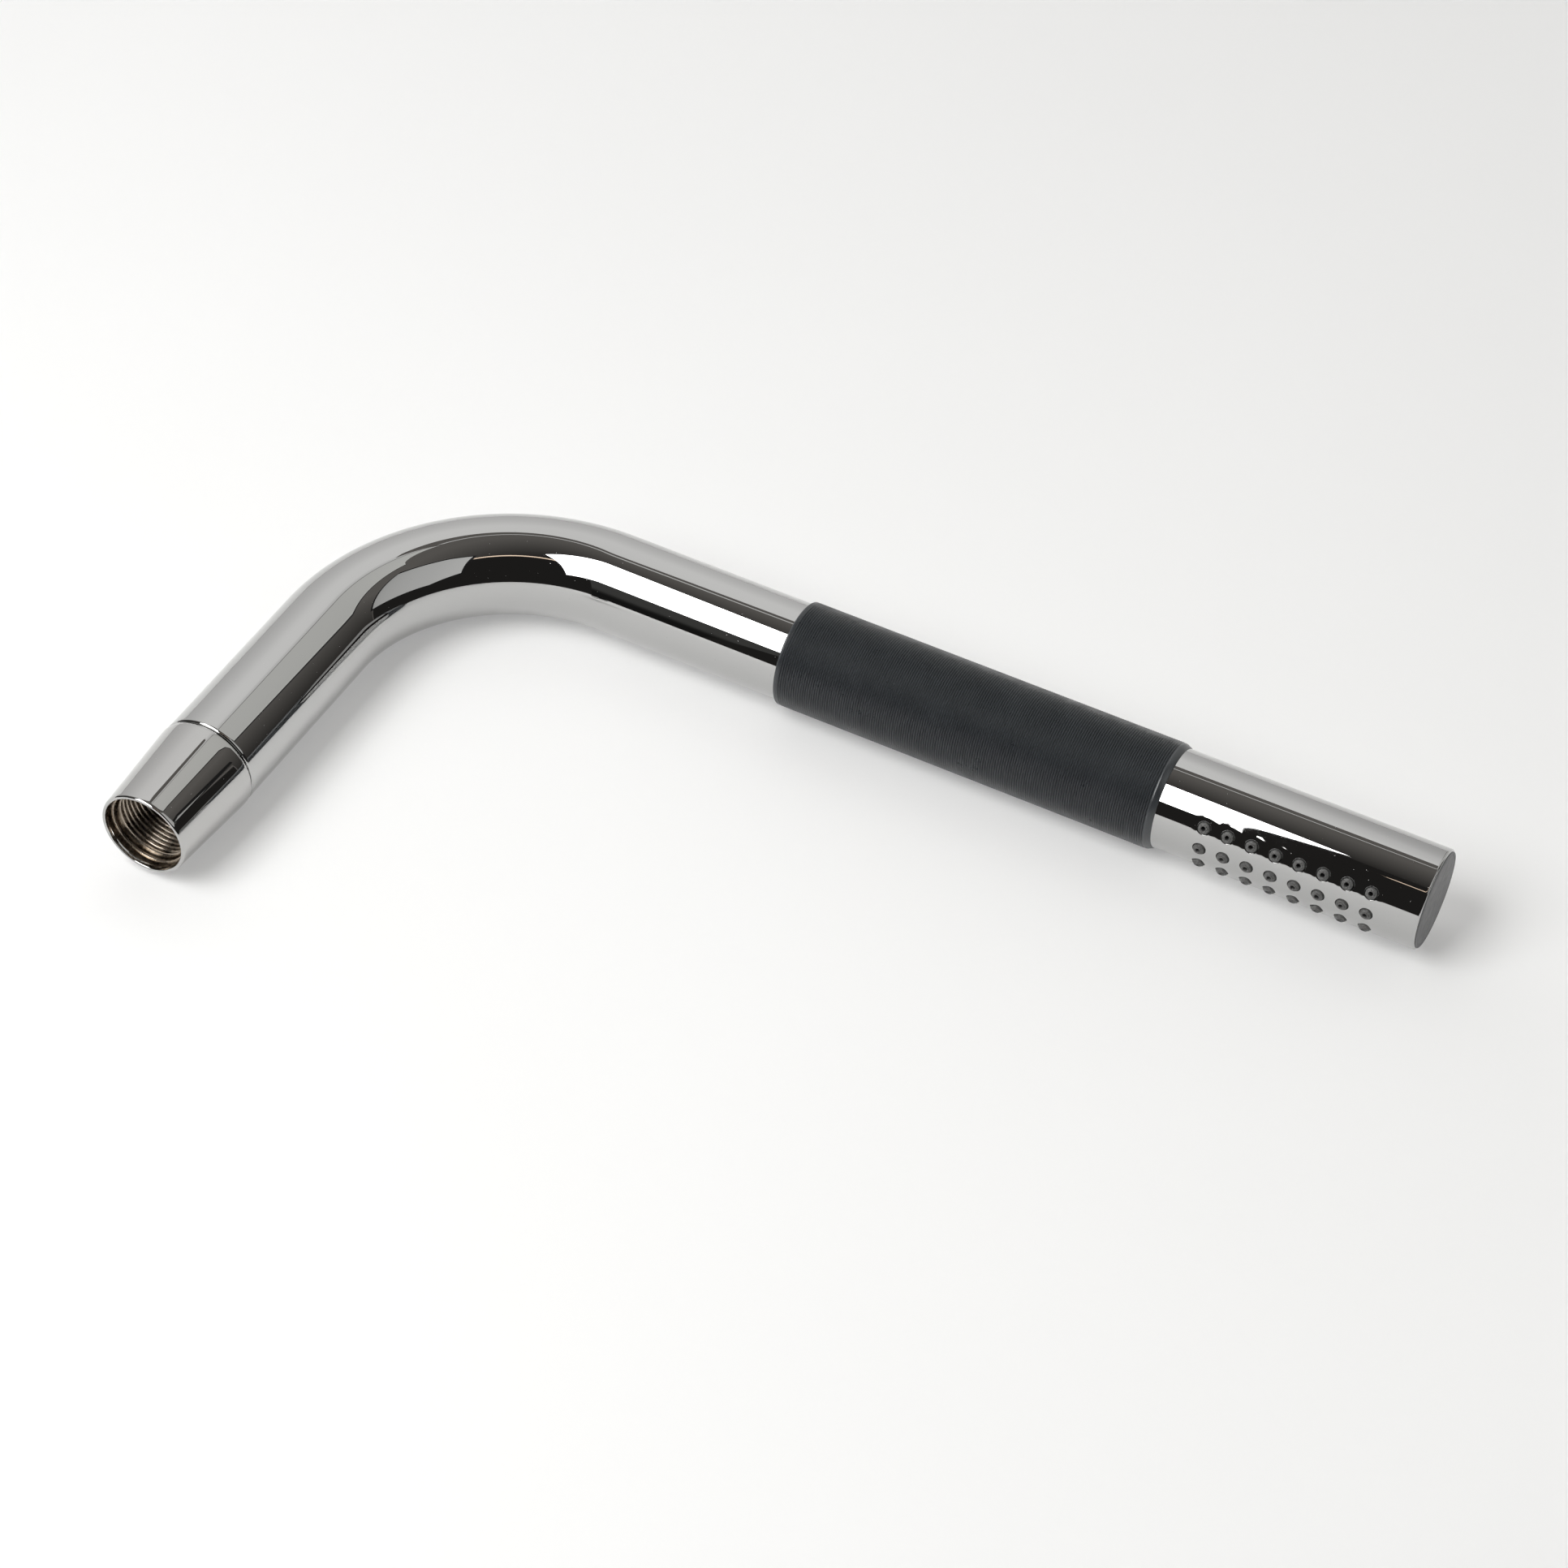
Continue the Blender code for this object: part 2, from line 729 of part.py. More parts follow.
def make_nozzle_carrier():
    """D-shaped manifold behind the mat: a channel along its back and a hole to each nozzle."""
    radius = TUBE_BORE - MAT_THICKNESS - 2 * GAP
    carrier = turned(
        "nozzle_carrier",
        [(0, SPRAY_START), (radius, SPRAY_START), (radius, SPRAY_END), (0, SPRAY_END)],
        PLUG_STEPS,
        PARTS,
        LEG_2,
        GREY_PLASTIC,
    )
    outward = spray_direction(0)
    side = outward.cross(Vector((0, 0, 1)))
    reach = 0.02
    margin = 0.001
    channel_floor = 0.0085
    channel_half_width = 0.0065
    feed_radius = 0.0008
    back_corners = across_leg(outward, side, -reach, CARRIER_BACK, reach)
    back_cutter = box_between(
        "carrier_back_cutter", back_corners, SPRAY_START - margin, SPRAY_END + margin
    )
    channel_corners = across_leg(outward, side, 0, channel_floor, channel_half_width)
    channel = box_between(
        "carrier_channel_cutter", channel_corners, SPRAY_START + margin, SPRAY_END - margin
    )
    feeds = radial_cylinders(
        "carrier_feed_cutters",
        channel_floor - 0.0015,
        radius + margin,
        feed_radius,
        feed_radius,
        6,
        NOZZLE_STATIONS,
    )
    for cutter in (back_cutter, channel, feeds):
        add_boolean(carrier, cutter)


def across_leg(outward, side, near, far, half_width):
    """Corners of a rectangle across leg 2, from near to far along the outward direction."""
    return [
        outward * a + side * b
        for a, b in ((far, -half_width), (near, -half_width), (near, half_width), (far, half_width))
    ]


def box_between(name, corners, low, high):
    """A helper prism in leg 2's frame: four corners about the axis, from station low to high."""
    bm = bmesh.new()
    ground = [bm.verts.new((corner.x, corner.y, low)) for corner in corners]
    face = bm.faces.new(ground)
    drawn = bmesh.ops.extrude_face_region(bm, geom=[face])["geom"]
    top = [item for item in drawn if isinstance(item, bmesh.types.BMVert)]
    bmesh.ops.translate(bm, vec=(0, 0, high - low), verts=top)
    bmesh.ops.recalc_face_normals(bm, faces=bm.faces)
    mesh = bpy.data.meshes.new(name)
    bm.to_mesh(mesh)
    bm.free()
    return place(bpy.data.objects.new(name, mesh), HELPERS, LEG_2)


def make_clamp_bar():
    """Bar across the tube that props the carrier off the opposite wall, with windows for water."""
    outward = spray_direction(0)
    side = outward.cross(Vector((0, 0, 1)))
    half_width = 0.0040
    inset = 0.002
    near = 0.0009 - TUBE_BORE
    corners = across_leg(outward, side, near, CARRIER_BACK - GAP, half_width)
    bar = box_between("clamp_bar", corners, SPRAY_START + inset, SPRAY_END - inset)
    HELPERS.objects.unlink(bar)
    PARTS.objects.link(bar)
    bar.hide_render = False
    bar.display_type = "TEXTURED"
    bar.data.materials.append(GREY_PLASTIC)
    window_pitch = 0.0177
    window_half_length = 0.006
    window_corners = across_leg(outward, side, near + 0.0022, -0.0005, 0.01)
    for i in range(3):
        middle = (SPRAY_START + SPRAY_END) / 2 + (i - 1) * window_pitch
        window = box_between(
            f"bar_window_cutter_{i}",
            window_corners,
            middle - window_half_length,
            middle + window_half_length,
        )
        add_boolean(bar, window)


def make_spray_end():
    """Sealing plug with two rubber rings, its snap ring in the tube's groove, and the cover disc."""
    plug_length = 0.0065
    plug_end = END_GROOVE_START
    plug_start = plug_end - plug_length
    outer = TUBE_BORE - GAP
    floor = outer - 0.0018
    groove = SEAL_GROOVE_WIDTH
    first = plug_start + 0.0006
    second = first + groove + 0.0008
    socket_radius = CAP_STEM_RADIUS + GAP
    socket_depth = 0.0045
    turned(
        "end_plug",
        [
            (0, plug_start),
            (outer, plug_start),
            (outer, first),
            (floor, first),
            (floor, first + groove),
            (outer, first + groove),
            (outer, second),
            (floor, second),
            (floor, second + groove),
            (outer, second + groove),
            (outer, plug_end),
            (socket_radius, plug_end),
            (socket_radius, plug_end - socket_depth),
            (0, plug_end - socket_depth),
        ],
        PLUG_STEPS,
        PARTS,
        LEG_2,
        GREY_PLASTIC,
    )
    for name, start in (("end_plug_o_ring_inner", first), ("end_plug_o_ring_outer", second)):
        ring(
            name,
            floor + 0.0010,
            0.0007,
            start + groove / 2,
            RING_STEPS,
            PARTS,
            LEG_2,
            BLACK_RUBBER,
        )
    snap_ring(
        "end_plug_circlip",
        TUBE_BORE - 0.0016,
        TUBE_BORE + SNAP_GROOVE_DEPTH - GAP,
        plug_end + GAP,
        SNAP_RING_THICKNESS,
        math.radians(50),
        PARTS,
        LEG_2,
        STEEL,
    )
    face = LEG_2_LENGTH - CAP_INSET
    stem_end = plug_end - 0.0040
    edge = 0.0002
    turned(
        "end_cap",
        [
            (0, stem_end),
            (CAP_STEM_RADIUS, stem_end),
            (CAP_STEM_RADIUS, face - CAP_THICKNESS),
            (outer, face - CAP_THICKNESS),
            (outer, face - edge),
            (outer - edge, face),
            (0, face),
        ],
        TUBE_STEPS,
        PARTS,
        LEG_2,
        CAP_GREY,
    )


clear_scene()
PARTS = new_collection("handheld_bath_sprayer")
HELPERS = new_collection("cutters_and_guides")
LEG_1 = leg_axis("leg_1_axis", Vector((0, -1, 0)))
LEG_2 = leg_axis("leg_2_axis", Vector((1, 0, 0)))
for axis in (LEG_1, LEG_2):
    PARTS.objects.link(axis)
bpy.context.view_layer.update()

CHROME = material("chrome", (0.56, 0.56, 0.555), 0.05, 1.0)
GRIP_RUBBER = material("grip_rubber", (0.045, 0.050, 0.056), 0.62)
SILICONE = material("nozzle_silicone", (0.13, 0.13, 0.13), 0.55)
CAP_GREY = material("end_cap_grey", (0.20, 0.20, 0.20), 0.45)
BRASS = material("brass", (0.62, 0.47, 0.25), 0.28, 1.0)
STEEL = material("stainless_steel", (0.55, 0.55, 0.54), 0.30, 1.0)
BLACK_RUBBER = material("black_rubber", (0.02, 0.02, 0.02), 0.60)
WHITE_PLASTIC = material("white_plastic", (0.75, 0.75, 0.72), 0.45)
GREY_PLASTIC = material("grey_plastic", (0.25, 0.25, 0.26), 0.50)

make_outer_tube()
make_grip_sleeve()
make_inlet_collar()
make_inlet_spigot()
make_hose_seal()
make_check_valve()
make_flow_limiter()
make_nozzle_mat()
make_nozzle_carrier()
make_clamp_bar()
make_spray_end()
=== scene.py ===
"""Looks of the handheld bath sprayer: chromed bent tube, ribbed rubber grip, soft nozzles, threaded collar.

Lengths are in metres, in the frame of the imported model. Leg 1 is the short leg, along -Y, and leg 2
the long one, along +X. A "station" is the distance from the corner where their centre lines cross.
"""

import json
import math

import bmesh
import bpy
import numpy as np
from mathutils import Matrix, Vector


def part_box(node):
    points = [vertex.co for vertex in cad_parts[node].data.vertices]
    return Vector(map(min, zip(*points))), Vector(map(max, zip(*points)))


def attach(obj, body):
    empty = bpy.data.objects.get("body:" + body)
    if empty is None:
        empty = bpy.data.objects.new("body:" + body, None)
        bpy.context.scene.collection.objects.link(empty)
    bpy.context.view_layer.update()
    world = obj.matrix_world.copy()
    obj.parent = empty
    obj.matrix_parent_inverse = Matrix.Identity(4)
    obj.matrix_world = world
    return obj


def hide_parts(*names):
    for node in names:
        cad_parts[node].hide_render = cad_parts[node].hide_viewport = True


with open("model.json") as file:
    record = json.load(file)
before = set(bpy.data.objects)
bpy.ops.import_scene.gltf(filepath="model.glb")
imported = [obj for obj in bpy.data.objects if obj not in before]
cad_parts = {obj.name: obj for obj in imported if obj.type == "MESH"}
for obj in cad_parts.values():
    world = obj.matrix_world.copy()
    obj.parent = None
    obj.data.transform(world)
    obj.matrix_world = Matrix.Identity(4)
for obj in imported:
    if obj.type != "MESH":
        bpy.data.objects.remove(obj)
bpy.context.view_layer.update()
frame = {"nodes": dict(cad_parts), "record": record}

# Places and sizes read from the frame
TUBE_LOW, TUBE_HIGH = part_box("outer_tube")
COLLAR_LOW, COLLAR_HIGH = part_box("inlet_collar")
GRIP_LOW, GRIP_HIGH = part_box("grip_sleeve")
MAT_LOW, MAT_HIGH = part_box("nozzle_mat")
TUBE_RADIUS = (TUBE_HIGH.z - TUBE_LOW.z) / 2
CORNER = Vector((TUBE_LOW.x + TUBE_RADIUS, TUBE_HIGH.y - TUBE_RADIUS, (TUBE_LOW.z + TUBE_HIGH.z) / 2))
LEG_2_END = TUBE_HIGH.x - CORNER.x
TUBE_START = CORNER.y - TUBE_LOW.y
MOUTH = CORNER.y - COLLAR_LOW.y
COLLAR_START = CORNER.y - COLLAR_HIGH.y
COLLAR_RADIUS = (COLLAR_HIGH.z - COLLAR_LOW.z) / 2
GRIP_START = GRIP_LOW.x - CORNER.x
GRIP_END = GRIP_HIGH.x - CORNER.x
GRIP_RADIUS = (GRIP_HIGH.z - GRIP_LOW.z) / 2

STUDIO_MIDDLE = CORNER + Vector((0.03, -0.01, 0))

BEND_RADIUS = 0.0581
TUBE_WALL = 0.0014
END_ROUNDING = 0.0006
END_FACE = LEG_2_END - 0.0003  # the tube's end, behind the cover disc
INLET_ROUNDING = 0.0008

NOZZLE_COUNT = 8
MAT_MARGIN = 0.0031
NOZZLE_FIRST = MAT_LOW.x - CORNER.x + MAT_MARGIN
NOZZLE_PITCH = (MAT_HIGH.x - MAT_LOW.x - 2 * MAT_MARGIN) / (NOZZLE_COUNT - 1)
ROW_ANGLE = math.radians(27)
ROWS = (-1, 0, 1)
HOLE_RADIUS = 0.0018
DIMPLE_DEPTH = 0.00006
DIMPLE_WIDTH = 0.0012

THREAD_PITCH = 0.0015
THREAD_MINOR_RADIUS = 0.0102
THREAD_DEPTH = 0.00081
RECESS_RADIUS = 0.0112
CENTRE_HOLE = 0.0004  # left on the axis of a turned disc, then filled
LEDGE_RADIUS = 0.0108
LEDGE_DEPTH = 0.0027

RIB_COUNT = 161
GRIP_BAND = 0.0010
GRIP_TAPER = 0.0022


# ---------------------------------------------------------------- geometry helpers


def leg_1_points(stations, radii, angles):
    """Points round leg 1: angle 0 is +X, and angles turn towards +Z."""
    x = CORNER.x + radii * np.cos(angles)
    z = CORNER.z + radii * np.sin(angles)
    y = CORNER.y - stations + 0 * radii
    return np.stack([x, y, z], -1)


def leg_2_points(stations, radii, angles):
    """Points round leg 2: angle 0 is -Y, where the middle nozzle row is, and angles turn towards +Z."""
    y = CORNER.y - radii * np.cos(angles)
    z = CORNER.z + radii * np.sin(angles)
    x = CORNER.x + stations + 0 * radii
    return np.stack([x, y, z], -1)


def add_object(name, vertices, faces, material, sharp=40):
    mesh = bpy.data.meshes.new(name)
    mesh.from_pydata(np.asarray(vertices).tolist(), [], faces)
    mesh.validate()
    obj = bpy.data.objects.new(name, mesh)
    bpy.context.scene.collection.objects.link(obj)
    mesh.shade_smooth()
    mesh.set_sharp_from_angle(angle=math.radians(sharp))
    mesh.materials.append(material)
    return obj


def grid_faces(rows, columns, first=0, wrap_rows=False, wrap_columns=True, flip=False):
    """Quads over a grid of vertices that are numbered row by row."""
    faces = []
    for row in range(rows if wrap_rows else rows - 1):
        below = first + row * columns
        above = first + (row + 1) % rows * columns
        for column in range(columns if wrap_columns else columns - 1):
            after = (column + 1) % columns
            quad = (below + column, below + after, above + after, above + column)
            faces.append(quad[::-1] if flip else quad)
    return faces


def turned_piece(name, leg_points, outline, steps, material, radius_change=None, sharp=40):
    """A piece turned about a leg from a closed outline of (radius, station), given clockwise or not."""
    outline = np.array(outline, float)
    following = np.roll(outline, -1, axis=0)
    area = np.sum(outline[:, 0] * following[:, 1] - following[:, 0] * outline[:, 1])
    if area < 0:
        outline = outline[::-1]
    angles = np.linspace(0, math.tau, steps, endpoint=False)
    stations = np.repeat(outline[:, 1:2], steps, axis=1)
    radii = np.repeat(outline[:, 0:1], steps, axis=1)
    turns = np.repeat(angles[None, :], len(outline), axis=0)
    if radius_change is not None:
        radii = radii + radius_change(stations, radii, turns)
    points = leg_points(stations, radii, turns).reshape(-1, 3)
    faces = grid_faces(len(outline), steps, wrap_rows=True)
    obj = add_object(name, points, faces, material, sharp)
    face_outwards(obj)
    return obj


def face_outwards(obj):
    """Turns every face round if the closed mesh has a negative volume."""
    mesh = obj.data
    mesh.calc_loop_triangles()
    points = np.empty(len(mesh.vertices) * 3)
    mesh.vertices.foreach_get("co", points)
    corners = np.empty(len(mesh.loop_triangles) * 3, int)
    mesh.loop_triangles.foreach_get("vertices", corners)
    a, b, c = (points.reshape(-1, 3)[corners.reshape(-1, 3)[:, i]] for i in range(3))
    if np.sum(a * np.cross(b, c)) < 0:
        mesh.flip_normals()


# ---------------------------------------------------------------- materials


class Nodes:
    """Short names for building one material's nodes."""

    def __init__(self, name):
        self.material = bpy.data.materials.new(name)
        self.material.use_nodes = True
        self.tree = self.material.node_tree
        self.shader = self.tree.nodes["Principled BSDF"]
        self.where = self.add("ShaderNodeTexCoord").outputs["Object"]

    def add(self, kind, **settings):
        node = self.tree.nodes.new(kind)
        for key, value in settings.items():
            setattr(node, key, value)
        return node

    def link(self, source, target):
        self.tree.links.new(source, target)

    def noise(self, scale, detail=3.0, roughness=0.5, where=None):
        node = self.add("ShaderNodeTexNoise")
        node.inputs["Scale"].default_value = scale
        node.inputs["Detail"].default_value = detail
        node.inputs["Roughness"].default_value = roughness
        self.link(where or self.where, node.inputs["Vector"])
        return node.outputs["Fac"]

    def stretched(self, scale):
        node = self.add("ShaderNodeMapping")
        node.inputs["Scale"].default_value = scale
        self.link(self.where, node.inputs["Vector"])
        return node.outputs["Vector"]

    def span(self, value, from_low, from_high, to_low, to_high):
        node = self.add("ShaderNodeMapRange")
        for socket, number in zip(
            ("From Min", "From Max", "To Min", "To Max"), (from_low, from_high, to_low, to_high)
        ):
            node.inputs[socket].default_value = number
        self.link(value, node.inputs["Value"])
        return node.outputs["Result"]

    def blend(self, amount, low, high):
        """A colour between two, by an amount from 0 to 1."""
        node = self.add("ShaderNodeMix", data_type="RGBA")
        self.link(amount, node.inputs["Factor"])
        node.inputs["A"].default_value = (*low, 1)
        node.inputs["B"].default_value = (*high, 1)
        return node.outputs["Result"]

    def calculate(self, operation, first, second):
        node = self.add("ShaderNodeMath", operation=operation)
        for socket, value in zip(node.inputs, (first, second)):
            if isinstance(value, (int, float)):
                socket.default_value = value
            else:
                self.link(value, socket)
        return node.outputs["Value"]

    def specks(self, scale, size):
        """1 inside small round specks spread at random, 0 elsewhere."""
        node = self.add("ShaderNodeTexVoronoi")
        node.inputs["Scale"].default_value = scale
        self.link(self.where, node.inputs["Vector"])
        return self.span(node.outputs["Distance"], size, size * 0.6, 0, 1)

    def bump(self, height, distance, strength=1.0):
        node = self.add("ShaderNodeBump")
        node.inputs["Distance"].default_value = distance
        node.inputs["Strength"].default_value = strength
        self.link(height, node.inputs["Height"])
        self.link(node.outputs["Normal"], self.shader.inputs["Normal"])

    def colour(self, value):
        self.link(value, self.shader.inputs["Base Color"])

    def roughness(self, value):
        self.link(value, self.shader.inputs["Roughness"])

    def settings(self, **values):
        for name, value in values.items():
            self.shader.inputs[name.replace("_", " ")].default_value = value


def chrome_material(name, colour, dull, smudge):
    """Bright chrome plating: faint smudges in its gloss, a trace of polishing waviness and dust."""
    nodes = Nodes(name)
    nodes.settings(Metallic=1.0)
    tint = tuple(part * 0.94 for part in colour)
    nodes.colour(nodes.blend(nodes.noise(22, 2), tint, colour))
    cloud = nodes.span(nodes.noise(75, 5, 0.62), 0.42, 0.75, dull, smudge)
    dust = nodes.calculate("MULTIPLY", nodes.specks(520, 0.055), 0.45)
    nodes.roughness(nodes.calculate("ADD", cloud, dust))
    nodes.bump(nodes.noise(30, 1), 0.00001, 0.06)
    return nodes.material


def brass_bore_with_painted_light(name):
    """Brass with a thin, uneven coat of chrome and a random uneven tone. The dark brown over the bore and in
    the thread's hollows is painted shade, and the paler thread crests and ledge band are a painted highlight.
    """
    nodes = Nodes(name)
    nodes.settings(Metallic=1.0)
    parts = nodes.add("ShaderNodeSeparateXYZ")
    nodes.link(nodes.where, parts.inputs["Vector"])
    across = nodes.calculate("SUBTRACT", parts.outputs["X"], CORNER.x)
    above = nodes.calculate("SUBTRACT", parts.outputs["Z"], CORNER.z)
    squares = [nodes.calculate("MULTIPLY", side, side) for side in (across, above)]
    radius = nodes.calculate("SQRT", nodes.calculate("ADD", *squares), 0.0)
    # Painted highlight: the thread's crests and the ledge band are made paler. Painted shade keeps the rest
    # of the bore dark brown.
    crest = nodes.span(radius, THREAD_MINOR_RADIUS + 0.00055, THREAD_MINOR_RADIUS + 0.0001, 0, 1)
    depth = nodes.calculate("SUBTRACT", parts.outputs["Y"], CORNER.y - MOUTH)
    inner = nodes.span(depth, LEDGE_DEPTH + 0.00085, LEDGE_DEPTH + 0.0007, 0, 1)
    outer = nodes.span(depth, LEDGE_DEPTH - 0.00015, LEDGE_DEPTH - 0.00005, 0, 1)
    ledge = nodes.calculate("MULTIPLY", inner, outer)
    painted_light_mask = nodes.calculate("MAXIMUM", crest, ledge)
    uneven = nodes.span(nodes.noise(420, 5, 0.65), 0.36, 0.68, 0, 1)
    amount = nodes.calculate(
        "ADD", nodes.calculate("MULTIPLY", painted_light_mask, 0.72), nodes.calculate("MULTIPLY", uneven, 0.28)
    )
    # Painted shade where the mask is low and painted highlight where it is high, mixed with a random uneven
    # tone.
    nodes.colour(nodes.blend(amount, (0.070, 0.050, 0.032), (0.56, 0.49, 0.41)))
    nodes.roughness(nodes.span(nodes.noise(520, 4), 0.3, 0.7, 0.20, 0.36))
    nodes.bump(nodes.noise(900, 4, 0.6), 0.00004, 0.6)
    return nodes.material


def rubber_material(name, dark, light, grain, grain_depth, roughness=0.55, mottle=95, gloss=0.5):
    """Matt rubber: a fine grain, a cloudy tone and pale dust specks spread at random."""
    nodes = Nodes(name)
    nodes.settings(Specular_IOR_Level=gloss)
    cloud = nodes.span(nodes.noise(mottle, 4, 0.6), 0.3, 0.7, 0, 1)
    dust = nodes.calculate("MULTIPLY", nodes.specks(900, 0.16), nodes.span(cloud, 0.4, 1, 0, 0.35))
    body = nodes.blend(cloud, dark, light)
    pale = nodes.add("ShaderNodeMix", data_type="RGBA")
    nodes.link(dust, pale.inputs["Factor"])
    nodes.link(body, pale.inputs["A"])
    pale.inputs["B"].default_value = (*(min(1.0, part * 3 + 0.03) for part in light), 1)
    nodes.colour(pale.outputs["Result"])
    nodes.roughness(nodes.span(nodes.noise(260, 4), 0.3, 0.7, roughness - 0.07, roughness + 0.09))
    nodes.bump(nodes.noise(grain, 3, 0.6), grain_depth, 0.8)
    return nodes.material


def plastic_material(name, dark, light, grain, roughness, grain_depth=0.00003):
    """Moulded plastic: slight mottling and a fine spark-eroded texture."""
    nodes = Nodes(name)
    nodes.colour(nodes.blend(nodes.span(nodes.noise(60, 4), 0.35, 0.65, 0, 1), dark, light))
    nodes.roughness(nodes.span(nodes.noise(420, 3), 0.3, 0.7, roughness - 0.06, roughness + 0.08))
    nodes.bump(nodes.noise(grain, 2), grain_depth, 0.5)
    return nodes.material


def machined_metal(name, dark, light, along, roughness):
    """Turned metal: fine lines round the axis and a mottled tarnish. Along is that axis, as x, y, z."""
    nodes = Nodes(name)
    nodes.settings(Metallic=1.0)
    lines = nodes.noise(1.0, 2, 0.6, nodes.stretched(tuple(60 + 7000 * part for part in along)))
    stain = nodes.span(nodes.noise(180, 5, 0.65), 0.35, 0.7, 0, 1)
    nodes.colour(nodes.blend(stain, light, dark))
    nodes.roughness(nodes.span(lines, 0.3, 0.7, roughness - 0.06, roughness + 0.12))
    nodes.bump(lines, 0.00002, 0.5)
    return nodes.material


# ---------------------------------------------------------------- the tube


def dimples(stations, angles):
    """How far the tube's wall is drawn in near its nozzle holes."""
    depth = np.zeros_like(stations)
    across = TUBE_RADIUS * angles
    for row in ROWS:
        for i in range(NOZZLE_COUNT):
            away = np.hypot(
                stations - (NOZZLE_FIRST + i * NOZZLE_PITCH), across - row * ROW_ANGLE * TUBE_RADIUS
            )
            near = np.maximum(away - HOLE_RADIUS, 0) / DIMPLE_WIDTH
            depth += DIMPLE_DEPTH * np.exp(-near * near)
    return depth


def bent_ring(turn, radius, angles):
    """A ring of the tube part way round the bend, from 0 at leg 1 to 90 degrees at leg 2."""
    centre = CORNER + BEND_RADIUS * Vector((1, -1, 0))
    outward = Vector((-math.cos(turn), math.sin(turn), 0))
    middle = np.array(centre + BEND_RADIUS * outward)
    away = np.array(outward)
    up = np.array((0, 0, 1.0))
    return middle - radius * np.outer(np.cos(angles), away) + radius * np.outer(np.sin(angles), up)


